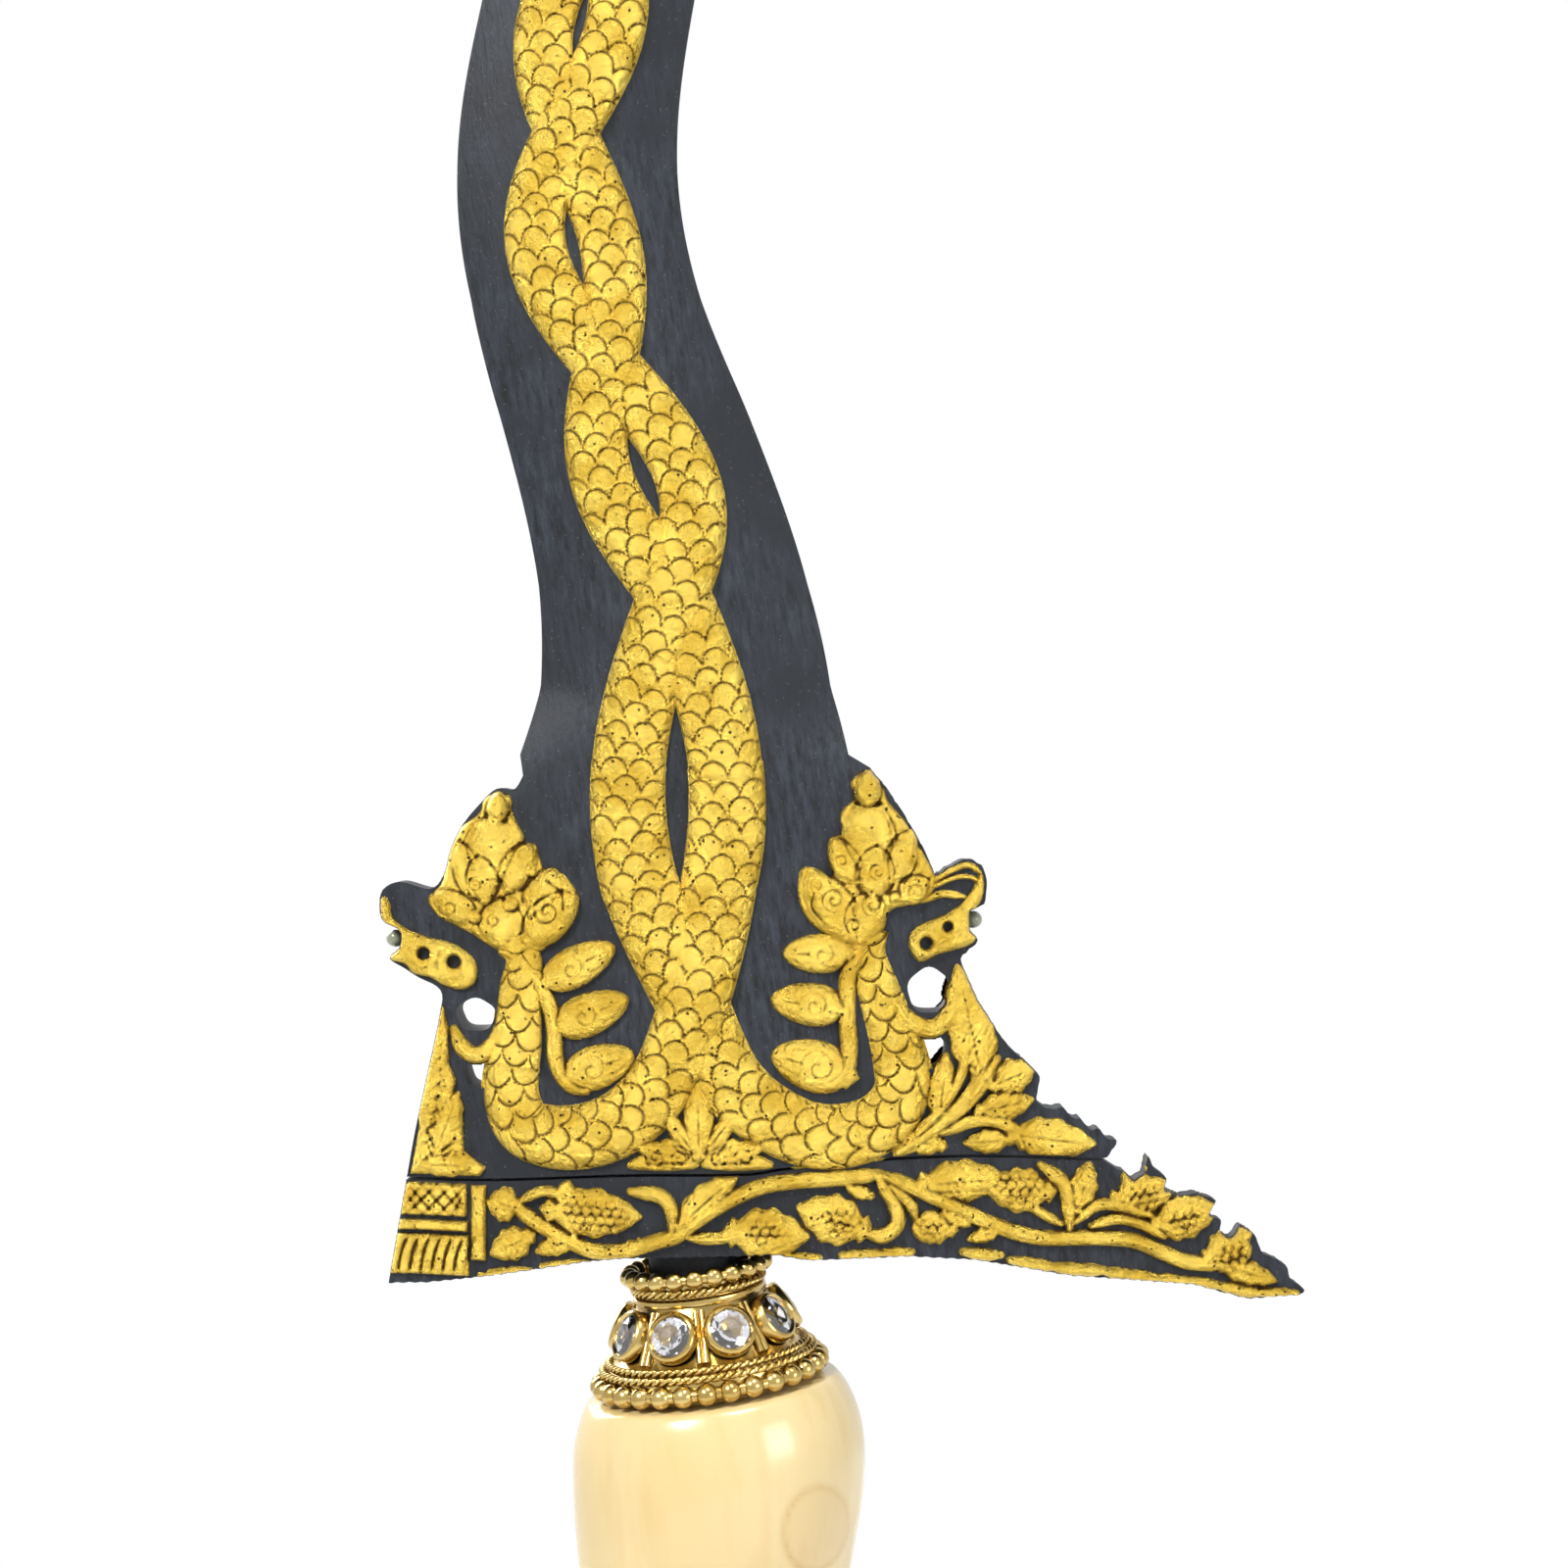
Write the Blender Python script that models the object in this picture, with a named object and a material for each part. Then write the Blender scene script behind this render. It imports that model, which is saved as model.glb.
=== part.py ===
"""A kris: a wavy dagger with two gilded serpents along its blade, a separate
ganja under it, a jewelled ferrule (mendak) and a turned and bent hilt.

World frame: +Z runs along the tang towards the tip, -Y is the front face and
the origin is the middle of the grip, on the tang's axis. The blade's drawings
are made in a face frame of their own, which leans by LEAN_DEG about Y.
"""

import math

import bmesh
import bpy
from mathutils import Matrix, Vector

MM = 0.001

# ---- Driving dimensions, in millimetres and degrees -------------------------
GRIP_TO_GANJA = 58.0  # from the grip's middle up to the ganja's underside
LEAN_DEG = 7.5  # the blade's face leans this far from the tang's axis
TANG_CROSSING = (-0.6, 0.85)  # where the tang's axis leaves the ganja, in the face frame
BLADE_START = 49.3  # height of the shoulders, above which the blade is one wavy strip
BLADE_TIP = 350.0
FACE_SCALE = 1.0  # size of everything drawn on the face, against the drawings below
WAVE_SIZE = 4.05  # how far the waves swing to each side
AXIS_DRIFT = -0.084  # sideways drift of the blade's mean line for each unit of height

CENTRE_HALF = 6.5  # half thickness at the tang
TIP_HALF = 0.9  # half thickness of the ridge just under the tip
HEAD_HALF = 2.2  # half thickness out at the serpents' heads
EDGE_HALF = 0.4  # half thickness of the cutting edges
GANJA_TIP_HALF = 1.0  # half thickness at the ganja's long end
RIDGE_REACH = 28.0  # how far the thick middle spreads at the base
GOLD = 0.7  # thickness of the gilded relief
SERPENT_RELIEF = 1.1  # height of the serpents' rounded backs
SEAT_GAP = 0.3  # between pieces that touch

TANG_RADIUS = 3.2
TANG_LENGTH = 62.0  # below the ganja's underside
WRAP_WALL = 1.2
WRAP_DEPTH = 16.0  # from the ganja's underside down to the top of the wrap
COLLAR_RADIUS = 4.7
COLLAR_HEIGHT = 2.6

BEAD_TOP = 1.7  # from the ganja's underside down to the ferrule
UPPER_BEAD, UPPER_BEAD_RING, UPPER_BEADS = 0.95, 6.4, 22
ROPE = 0.38  # radius of each twisted wire
UPPER_ROPE_RING = 6.15
BAND_TOP_RADIUS, BAND_FOOT_RADIUS, BAND_HEIGHT = 6.45, 9.3, 5.4
BAND_LIP = 0.45  # plain lip over the jewelled band
GEM_COUNT, GEM_RADIUS, COLLET_WALL, COLLET_HEIGHT = 9, 2.0, 0.4, 1.3
POST_RADIUS = 0.38
LOWER_ROPE_RINGS = (10.2, 10.75)
LOWER_BEAD, LOWER_BEAD_RING, LOWER_BEADS = 1.1, 11.2, 30

# Hilt sections down from its top: depth, sideways shift, half width, half depth.
HILT_SECTIONS = (
    (0.0, 0.0, 12.8, 12.8),
    (2.0, 0.0, 13.9, 13.7),
    (4.6, -0.1, 14.7, 14.3),
    (8.0, -0.3, 14.9, 14.4),
    (13.0, -0.9, 14.7, 14.0),
    (18.4, -1.8, 14.0, 13.0),
    (24.5, -2.3, 12.7, 11.6),
    (33.0, -2.6, 11.7, 10.7),
    (44.0, -3.4, 11.5, 10.4),
    (56.0, -5.6, 12.4, 10.8),
    (70.0, -9.4, 13.7, 11.6),
    (82.0, -12.6, 13.5, 11.6),
    (88.0, -13.8, 12.2, 10.6),
)
HILT_SIDES = 20

# ---- Drawings in the face frame, in millimetres -----------------------------
# The joint between blade and ganja, from left to right.
JOINT_LINE = ((-29.4, 7.5), (-20.8, 7.6), (-7.1, 8.3), (4.7, 8.4), (8.6, 8.9), (19.2, 9.7), (30.7, 9.7), (41.0, 9.3))

# The blade's outline from the joint up each side to the shoulder.
LEFT_SIDE = (
    (-29.4, 7.5), (-28.6, 12.0), (-27.4, 17.5), (-26.0, 24.0), (-25.9, 26.6), (-28.2, 27.9),
    (-29.6, 28.8), (-31.1, 29.8), (-30.1, 30.9), (-30.1, 32.6), (-31.8, 33.6), (-32.1, 35.4), (-31.7, 36.8),
    (-30.0, 37.5), (-27.0, 36.8), (-25.6, 38.2), (-24.9, 40.7), (-23.7, 43.2), (-21.9, 45.4), (-20.2, 46.9),
    (-18.5, 46.8), (-17.6, 48.2),
)
RIGHT_SIDE = (
    (41.0, 9.3), (42.3, 11.3), (39.7, 12.7), (37.1, 14.9), (34.0, 15.3), (34.5, 18.0), (31.9, 20.3),
    (30.7, 21.6), (28.1, 25.6), (26.3, 29.8), (28.3, 31.6), (27.3, 32.5), (27.3, 34.6), (28.9, 35.2),
    (29.1, 37.6), (28.6, 39.2), (27.2, 39.9), (25.2, 39.0), (23.9, 38.0), (22.7, 40.8), (20.7, 44.3),
    (18.9, 47.0), (17.3, 49.0),
)
# Holes through the flanks: centre, half width, half height.
FLANK_HOLES = ((-21.8, 24.3, 1.6, 1.5), (-21.3, 18.3, 1.0, 1.5), (22.9, 26.7, 1.9, 2.1), (23.3, 20.5, 1.3, 1.7))

GANJA_FOOT = (
    (45.1, 10.0), (47.2, 8.3), (48.2, 6.5), (51.9, 5.4), (51.2, 3.1), (53.3, 1.9), (54.4, 2.9), (57.0, 0.4),
    (59.1, -1.1), (61.5, -3.6), (61.3, -4.2), (55.5, -4.7), (50.0, -3.2), (37.4, -2.2), (28.2, -0.6),
    (21.0, 0.1), (11.0, 0.0), (7.8, 0.6), (-7.1, 0.3), (-11.0, -0.1), (-20.8, -1.8), (-27.6, -2.8),
    (-31.2, -2.9),
)

# Half width of the blade at shares of its length above the shoulders.
BLADE_WIDTHS = (
    (0.0, 16.8), (0.026, 14.7), (0.06, 13.65), (0.125, 12.5), (0.157, 11.65), (0.2, 11.15), (0.255, 10.75),
    (0.37, 10.25), (0.5, 9.5), (0.635, 8.65), (0.77, 7.65), (0.88, 6.25), (0.945, 4.3), (0.985, 1.7), (1.0, 0.25),
)
FIRST_WAVE = 0.1187  # share of the length where the first wave crosses the mean line
WAVE_LENGTH = 0.1397  # length of the next half wave, as a share of the blade
WAVE_SHRINK = 0.93  # each half wave against the one under it

# Serpents from the neck down, round the base and up to where they first cross.
LEFT_SERPENT = ((-17.4, 29.7), (-17.8, 26.8), (-18.0, 21.9), (-18.6, 16.4), (-16.9, 12.9), (-12.0, 12.4), (-7.1, 14.0), (-3.1, 18.4), (-0.4, 25.2))
RIGHT_SERPENT = ((17.0, 30.2), (18.4, 25.8), (19.9, 20.9), (20.4, 16.4), (17.5, 13.3), (12.5, 12.6), (7.6, 14.0), (3.2, 17.9), (-0.4, 25.2))
SERPENT_MIDDLE = ((25.2, -0.4), (37.4, -1.9), (55.4, -2.2), (66.6, -2.4))
CROSSINGS = (25.2, 66.6, 89.5, 112.8)
CROSSING_SHRINK = 0.955
SERPENT_TAIL = 0.915  # share of the blade that the tails reach
FIRST_LOOP = 5.0
LOOP_SHARE = 0.315  # swing of the later loops against the blade's half width
# Body width against the length along it from the neck, then against the share of the blade.
LOWER_WIDTHS = ((0.0, 3.4), (6.0, 4.6), (14.0, 5.6), (24.0, 6.0), (40.0, 6.6), (60.0, 7.4), (90.0, 6.4))
UPPER_WIDTHS = ((0.04, 6.4), (0.1, 5.9), (0.5, 5.2), (0.8, 3.6), (0.92, 1.6))

LEFT_CREST = (
    (-20.0, 46.2), (-18.6, 45.2), (-17.5, 41.5), (-15.6, 39.0), (-13.0, 38.0), (-12.2, 35.3), (-14.0, 31.5),
    (-18.0, 30.9), (-22.7, 32.6), (-25.7, 34.1), (-26.5, 36.1), (-25.1, 38.2), (-24.4, 40.5), (-23.2, 43.0),
)
RIGHT_CREST = (
    (17.0, 48.2), (18.4, 46.6), (20.2, 44.0), (22.1, 40.5), (23.2, 37.5), (21.4, 35.1), (18.9, 33.9),
    (16.0, 32.0), (12.5, 32.7), (10.3, 35.8), (10.6, 38.5), (13.3, 40.5), (14.3, 43.4), (15.4, 46.3),
)
LEFT_MUZZLE = (
    (-31.4, 34.6), (-30.0, 33.0), (-27.6, 31.9), (-24.2, 31.4), (-22.5, 29.8), (-22.5, 27.9), (-23.7, 27.2),
    (-25.7, 27.8), (-28.0, 28.5), (-29.6, 29.5), (-29.6, 31.0),
)
RIGHT_MUZZLE = (
    (27.9, 31.7), (26.6, 31.3), (24.5, 29.9), (22.2, 29.5), (21.0, 30.8), (21.6, 32.6), (23.6, 33.4),
    (25.6, 34.4), (26.9, 34.4), (27.0, 32.6),
)
LEFT_PITS = ((-27.5, 30.1, 0.75, 0.75), (-24.5, 29.4, 0.8, 0.8))
RIGHT_PITS = ((25.2, 33.0, 0.6, 0.6), (22.8, 31.4, 0.7, 0.7))
PEARL = 0.8
PEARLS = {"pearl_left": (-31.2, 31.8), "pearl_right": (28.5, 33.6)}

LEFT_MANE = ((-15.0, 28.2), (-14.1, 25.0), (-13.6, 21.0), (-12.9, 18.2), (-11.2, 17.2))
RIGHT_MANE = ((14.7, 28.6), (14.5, 25.0), (14.4, 21.0), (13.8, 18.2), (12.4, 17.4))
STEM_WIDTH = 1.5
# Leaves: root, tip, width.
LEFT_MANE_LEAVES = (((-14.9, 27.6), (-8.6, 30.9), 3.4), ((-14.2, 23.6), (-7.2, 25.6), 3.5), ((-13.2, 18.2), (-6.6, 20.4), 4.0))
RIGHT_MANE_LEAVES = (((14.8, 28.3), (9.2, 30.4), 3.6), ((14.6, 24.2), (7.6, 25.9), 3.6), ((14.0, 18.4), (7.8, 20.2), 4.0))

TUMPAL = ((-6.6, 9.3), (-3.6, 12.0), (-1.8, 15.2), (0.1, 17.4), (1.9, 15.2), (3.8, 12.2), (7.4, 9.7), (3.0, 9.3))
LEFT_PANEL = (
    (-25.8, 24.6), (-25.2, 21.9), (-24.4, 17.0), (-23.6, 15.3), (-23.4, 10.8), (-21.4, 9.2), (-21.8, 8.1),
    (-29.0, 8.0), (-28.5, 10.6), (-27.3, 17.0),
)
RIGHT_FLANK = (
    (26.1, 28.6), (27.5, 25.2), (30.1, 21.2), (31.5, 19.8), (33.6, 17.7), (33.1, 14.9), (36.6, 14.3),
    (39.2, 12.2), (40.9, 11.0), (38.0, 10.2), (24.4, 10.3), (26.0, 14.4), (26.3, 18.4), (26.0, 23.0),
)
GANJA_TILE = ((-30.9, -2.4), (-30.6, 2.0), (-29.6, 7.0), (-21.2, 7.1), (-21.4, -1.3), (-26.0, -2.2))
GANJA_VINE = (
    (-20.0, 1.2), (-15.0, 3.0), (-9.0, 5.2), (-3.0, 2.8), (2.0, 4.6), (8.0, 7.0), (14.0, 7.2), (19.0, 4.6),
    (25.0, 6.4), (32.0, 3.6), (38.0, 1.6), (45.0, 2.0), (51.0, -0.6), (57.5, -2.9),
)
VINE_WIDTH = 1.8
VINE_LEAVES = (
    ((-17.0, 2.4), (-19.6, 6.2), 2.6), ((-11.0, 4.6), (-14.0, 0.6), 3.0), ((-2.0, 3.0), (-1.6, 7.2), 3.0),
    ((1.4, 4.2), (5.4, 1.2), 3.2), ((9.5, 7.0), (12.8, 2.6), 3.6), ((18.6, 4.8), (20.4, 1.2), 3.4),
    ((25.0, 6.2), (31.0, 8.6), 3.0), ((33.0, 3.2), (39.5, 6.6), 3.2), ((44.0, 2.0), (48.6, 5.6), 2.8),
)

SMOOTH_STEPS = 2  # points that each stretch of a smooth outline gets
BLADE_STEPS = 36  # points along each edge of the blade
SERPENT_STEPS = 40  # sections along each serpent above the base
CUT_DEPTH = 14.0  # half depth of a cutter that goes right through the face

FINISHES = {
    "iron": ((0.030, 0.038, 0.052, 1.0), 0.85, 0.48),
    "gold_leaf": ((0.80, 0.52, 0.06, 1.0), 1.0, 0.30),
    "ferrule_gold": ((0.62, 0.43, 0.11, 1.0), 1.0, 0.28),
    "gem": ((0.85, 0.87, 0.92, 1.0), 0.0, 0.05),
    "pearl": ((0.72, 0.72, 0.62, 1.0), 0.0, 0.30),
    "hilt_bone": ((0.87, 0.76, 0.48, 1.0), 0.0, 0.28),
    "wrap_cloth": ((0.55, 0.50, 0.42, 1.0), 0.0, 0.90),
}


def mix(a, b, share):
    return a + (b - a) * share


def ease(value):
    value = min(1.0, max(0.0, value))
    return value * value * (3 - 2 * value)


def read_table(table, x):
    """Straight-line reading of (x, y) rows, held level past both ends."""
    if x <= table[0][0]:
        return table[0][1]
    for (x0, y0), (x1, y1) in zip(table, table[1:]):
        if x <= x1:
            return mix(y0, y1, (x - x0) / (x1 - x0))
    return table[-1][1]


# ---- The blade's shape ------------------------------------------------------
def scaled(points):
    return [(u * FACE_SCALE, v * FACE_SCALE) for u, v in points]


SHOULDER = BLADE_START * FACE_SCALE


def share_up(v):
    return (v - SHOULDER) / (BLADE_TIP - SHOULDER)


def height_at(share):
    return mix(SHOULDER, BLADE_TIP, share)


def wave(v):
    """Sideways swing of the blade's middle from its mean line."""
    share = share_up(v)
    if share < FIRST_WAVE:
        return WAVE_SIZE * math.sin(math.pi * (FIRST_WAVE - max(share, -0.05)) / 0.167)
    left = 1 - (share - FIRST_WAVE) * (1 - WAVE_SHRINK) / WAVE_LENGTH
    count = math.log(max(left, 0.05)) / math.log(WAVE_SHRINK)
    return -WAVE_SIZE * math.sin(math.pi * count) * mix(1.0, 0.6, share)


def blade_middle(v):
    return TANG_CROSSING[0] + AXIS_DRIFT * (v - TANG_CROSSING[1]) + wave(v)


def blade_half_width(v):
    return read_table(BLADE_WIDTHS, share_up(v)) * FACE_SCALE


def half_thickness(u, v):
    """Half thickness of blade and ganja at a point of the face."""
    above = ease((v - SHOULDER + 6.0) / 14.0)
    edge = mix(HEAD_HALF, EDGE_HALF, above)
    reach = RIDGE_REACH * FACE_SCALE
    if u > reach:
        edge = mix(edge, min(edge, GANJA_TIP_HALF), min(1.0, (u - reach) / reach))
    ridge = mix(CENTRE_HALF, 3.7, ease(v / (SHOULDER + 10.0)))
    if v > SHOULDER:
        ridge = mix(3.7, TIP_HALF, max(0.0, share_up(v)) ** 1.2)
    middle = mix(TANG_CROSSING[0], blade_middle(v), above)
    across = (u - middle) / mix(reach, max(blade_half_width(v), 1.0), above)
    return edge + max(ridge - edge, 0.0) * max(0.0, 1 - across * across)


# ---- Scene helpers ----------------------------------------------------------
for old in list(bpy.data.objects):
    bpy.data.objects.remove(old)

PARTS = bpy.data.collections.new("kris")
CUTTERS = bpy.data.collections.new("cutters")
for group in (PARTS, CUTTERS):
    bpy.context.scene.collection.children.link(group)

lean = math.radians(LEAN_DEG)
FACE = bpy.data.objects.new("face_frame", None)
PARTS.objects.link(FACE)
FACE.rotation_euler = (0.0, lean, 0.0)
crossing = Vector((TANG_CROSSING[0] * MM, 0.0, TANG_CROSSING[1] * MM))
FACE.location = Vector((0.0, 0.0, GRIP_TO_GANJA * MM)) - Matrix.Rotation(lean, 3, "Y") @ crossing

MATERIALS = {}
for finish, (colour, metallic, roughness) in FINISHES.items():
    material = bpy.data.materials.new(finish)
    material.use_nodes = True
    shader = material.node_tree.nodes["Principled BSDF"]
    shader.inputs["Base Color"].default_value = colour
    shader.inputs["Metallic"].default_value = metallic
    shader.inputs["Roughness"].default_value = roughness
    material.diffuse_color = colour
    MATERIALS[finish] = material


def add_part(name, mesh, finish, parent=None):
    part = bpy.data.objects.new(name, mesh)
    PARTS.objects.link(part)
    part.parent = parent
    material = MATERIALS[finish].copy()
    material.name = name
    mesh.materials.clear()
    mesh.materials.append(material)
    mesh.shade_smooth()
    mesh.set_sharp_from_angle(angle=math.radians(35))
    return part


def add_cutter(name, mesh, parent=None):
    cutter = bpy.data.objects.new(name, mesh)
    CUTTERS.objects.link(cutter)
    cutter.parent = parent
    cutter.hide_render = True
    cutter.display_type = "WIRE"
    return cutter


def combine(part, other, operation):
    modifier = part.modifiers.new(operation.lower() + "_" + other.name, "BOOLEAN")
    modifier.operation = operation
    modifier.object = other


def finish_mesh(name, mesh_maker, weld=1e-6):
    mesh_maker_bm = bmesh.new()
    mesh_maker(mesh_maker_bm)
    bmesh.ops.remove_doubles(mesh_maker_bm, verts=mesh_maker_bm.verts, dist=weld)
    bmesh.ops.recalc_face_normals(mesh_maker_bm, faces=mesh_maker_bm.faces)
    mesh = bpy.data.meshes.new(name)
    mesh_maker_bm.to_mesh(mesh)
    mesh_maker_bm.free()
    return mesh


def mesh_of_curve(name, curve):
    """The closed mesh of a curve with caps, its loose caps welded on."""
    holder = bpy.data.objects.new(name, curve)
    CUTTERS.objects.link(holder)
    graph = bpy.context.evaluated_depsgraph_get()
    mesh = bpy.data.meshes.new_from_object(holder.evaluated_get(graph))
    bpy.data.objects.remove(holder)
    return finish_mesh(name, lambda bm: bm.from_mesh(mesh))


def plate_mesh(name, outline, half, smooth=True):
    """A flat outline of the face, as thick as twice half, standing in X and Z."""
    curve = bpy.data.curves.new(name, "CURVE")
    curve.dimensions = "2D"
    curve.fill_mode = "BOTH"
    curve.extrude = half * MM
    curve.resolution_u = SMOOTH_STEPS
    spline = curve.splines.new("BEZIER" if smooth else "POLY")
    spline.use_cyclic_u = True
    points = spline.bezier_points if smooth else spline.points
    points.add(len(outline) - 1)
    for point, (u, v) in zip(points, outline):
        if smooth:
            point.co = (u * MM, v * MM, 0.0)
            point.handle_left_type = point.handle_right_type = "AUTO"
        else:
            point.co = (u * MM, v * MM, 0.0, 1.0)
    mesh = mesh_of_curve(name, curve)
    mesh.transform(Matrix.Rotation(math.pi / 2, 4, "X"))
    return mesh


def sheet_mesh(name, columns, rows, place, near, far):
    """A closed sheet over a grid: place gives (u, v), near and far its two faces."""

    def build(bm):
        bmesh.ops.create_grid(bm, x_segments=columns, y_segments=rows, size=1.0)
        made = bmesh.ops.extrude_face_region(bm, geom=bm.faces[:])
        moved = {item for item in made["geom"] if isinstance(item, bmesh.types.BMVert)}
        for vert in bm.verts:
            u, v = place((vert.co.x + 1) / 2, (vert.co.y + 1) / 2)
            depth = far(u, v) if vert in moved else near(u, v)
            vert.co = (u * MM, depth * MM, v * MM)

    return finish_mesh(name, build)


def turned_mesh(name, profile, steps=36):
    """A profile of (radius, height) points turned about Z; a closed profile makes a ring."""

    def build(bm):
        loop = [bm.verts.new((radius * MM, 0.0, height * MM)) for radius, height in profile]
        edges = [bm.edges.new(pair) for pair in zip(loop, loop[1:] + loop[:1])]
        bmesh.ops.spin(
            bm, geom=loop + edges, axis=(0, 0, 1), cent=(0, 0, 0), dvec=(0, 0, 0),
            angle=2 * math.pi, steps=steps, use_merge=True, use_duplicate=False,
        )

    return finish_mesh(name, build)


def rod_mesh(name, radius, low, high, sides=24, top_radius=None):
    def build(bm):
        bmesh.ops.create_cone(
            bm, cap_ends=True, segments=sides, radius1=radius * MM,
            radius2=(radius if top_radius is None else top_radius) * MM, depth=(high - low) * MM,
            matrix=Matrix.Translation((0.0, 0.0, (low + high) / 2 * MM)),
        )

    return finish_mesh(name, build)


def ring_of(name, ring_radius, point_radii, height, sides_setting):
    """A closed round wire whose thickness follows point_radii around it."""
    curve = bpy.data.curves.new(name, "CURVE")
    curve.dimensions = "3D"
    curve.bevel_depth = MM
    curve.bevel_resolution = sides_setting
    spline = curve.splines.new("POLY")
    spline.points.add(len(point_radii) - 1)
    spline.use_cyclic_u = True
    for index, (point, radius) in enumerate(zip(spline.points, point_radii)):
        turn = 2 * math.pi * index / len(point_radii)
        point.co = (ring_radius * MM * math.cos(turn), ring_radius * MM * math.sin(turn), height * MM, 1.0)
        point.radius = radius
    return mesh_of_curve(name, curve)


def ellipse(u, v, half_width, half_height, count=12):
    turns = [2 * math.pi * index / count for index in range(count)]
    return [(u + half_width * math.cos(turn), v + half_height * math.sin(turn)) for turn in turns]


def leaf(root, tip, width):
    """A pointed leaf from its root on the stem to its tip."""
    along = Vector((tip[0] - root[0], tip[1] - root[1]))
    across = Vector((-along.y, along.x)).normalized() * width / 2
    shape = ((0.0, 0.3), (0.3, 0.9), (0.7, 0.85), (1.0, 0.0), (0.7, -0.85), (0.3, -0.9), (0.0, -0.3))
    return [tuple(Vector(root) + along * length + across * side) for length, side in shape]


def smooth_path(points, steps):
    """Points along a Catmull-Rom curve through the given ones."""
    ends = [points[0]] + list(points) + [points[-1]]
    found = []
    for before, start, end, after in zip(ends, ends[1:], ends[2:], ends[3:]):
        before, start, end, after = map(Vector, (before, start, end, after))
        for step in range(steps):
            t = step / steps
            found.append(
                0.5 * (2 * start + (end - before) * t + (2 * before - 5 * start + 4 * end - after) * t**2
                       + (3 * start - before - 3 * end + after) * t**3)
            )
    found.append(Vector(points[-1]))
    return found


def stroke(points, width, steps=2):
    """The outline of a stem: its path with half the width to each side."""
    path = smooth_path(points, steps)
    left, right = [], []
    for index, point in enumerate(path):
        ahead = path[min(index + 1, len(path) - 1)] - path[max(index - 1, 0)]
        side = Vector((-ahead.y, ahead.x)).normalized() * width / 2
        left.append(tuple(point + side))
        right.append(tuple(point - side))
    return left + right[::-1]


# ---- Blade and ganja --------------------------------------------------------
def joint_height(u):
    return read_table(scaled(JOINT_LINE), u)


def blade_outline():
    edges = [height_at(index / BLADE_STEPS) for index in range(1, BLADE_STEPS + 1)]
    left = scaled(LEFT_SIDE) + [(blade_middle(v) - blade_half_width(v), v) for v in edges]
    right = scaled(RIGHT_SIDE) + [(blade_middle(v) + blade_half_width(v), v) for v in edges]
    joint = scaled(JOINT_LINE)[1:-1]
    whole = left + right[::-1] + joint[::-1]
    return [(u, v + SEAT_GAP if v <= joint_height(u) + 0.01 else v) for u, v in whole]


def blade_grid(across, along):
    foot, shoulder_row = 4.0 * FACE_SCALE, 0.24
    if along < shoulder_row:
        v = mix(foot, SHOULDER + 8.0, along / shoulder_row)
    else:
        v = mix(SHOULDER + 8.0, BLADE_TIP + 2.0, (along - shoulder_row) / (1 - shoulder_row))
    spread = mix(46.0 * FACE_SCALE, blade_half_width(v) + 2.0, ease((v - SHOULDER) / 8.0))
    return mix(TANG_CROSSING[0], blade_middle(v), ease((v - SHOULDER) / 8.0)) + (2 * across - 1) * spread, v


def make_blade():
    mesh = sheet_mesh(
        "blade", 10, 38, blade_grid,
        lambda u, v: -half_thickness(u, v), half_thickness,
    )
    blade = add_part("blade", mesh, "iron", FACE)
    silhouette = add_cutter("blade_silhouette", plate_mesh("blade_silhouette", blade_outline(), CUT_DEPTH, False), FACE)
    combine(blade, silhouette, "INTERSECT")
    for index, hole in enumerate(FLANK_HOLES):
        outline = ellipse(*[value * FACE_SCALE for value in hole])
        name = "flank_hole_" + str(index + 1)
        combine(blade, add_cutter(name, plate_mesh(name, outline, CUT_DEPTH, False), FACE), "DIFFERENCE")
    underside = GRIP_TO_GANJA
    tang = rod_mesh("tang", TANG_RADIUS, underside - TANG_LENGTH, underside + 12.0)
    combine(blade, add_cutter("tang", tang), "UNION")


def make_ganja():
    outline = scaled(JOINT_LINE) + [(43.0 * FACE_SCALE, 8.4 * FACE_SCALE), (44.6 * FACE_SCALE, 8.4 * FACE_SCALE)] + scaled(GANJA_FOOT)
    width, low, high = 104.0 * FACE_SCALE, -8.0 * FACE_SCALE, 14.0 * FACE_SCALE

    def place(across, along):
        return -38.0 * FACE_SCALE + across * width, mix(low, high, along)

    mesh = sheet_mesh("ganja", 24, 4, place, lambda u, v: -half_thickness(u, v), half_thickness)
    ganja = add_part("ganja", mesh, "iron", FACE)
    combine(ganja, add_cutter("ganja_silhouette", plate_mesh("ganja_silhouette", outline, CUT_DEPTH, False), FACE), "INTERSECT")
    collar = rod_mesh("collar", COLLAR_RADIUS, GRIP_TO_GANJA - COLLAR_HEIGHT, GRIP_TO_GANJA + 3.0)
    combine(ganja, add_cutter("collar", collar), "UNION")
    bore = rod_mesh("tang_bore", TANG_RADIUS + SEAT_GAP, GRIP_TO_GANJA - 20.0, GRIP_TO_GANJA + 20.0)
    combine(ganja, add_cutter("tang_bore", bore), "DIFFERENCE")


# ---- Gilded relief ----------------------------------------------------------
def gold_layer(face_name, front):
    """The layer that every flat piece of gold on one face is cut from."""

    def place(across, along):
        return mix(-38.0, 66.0, across) * FACE_SCALE, mix(-8.0, 56.0, along) * FACE_SCALE

    mesh = sheet_mesh(
        "gold_layer_" + face_name, 20, 12, place,
        lambda u, v: front * (half_thickness(u, v) + SEAT_GAP),
        lambda u, v: front * (half_thickness(u, v) + SEAT_GAP + GOLD),
    )
    return add_cutter("gold_layer_" + face_name, mesh, FACE)


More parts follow.
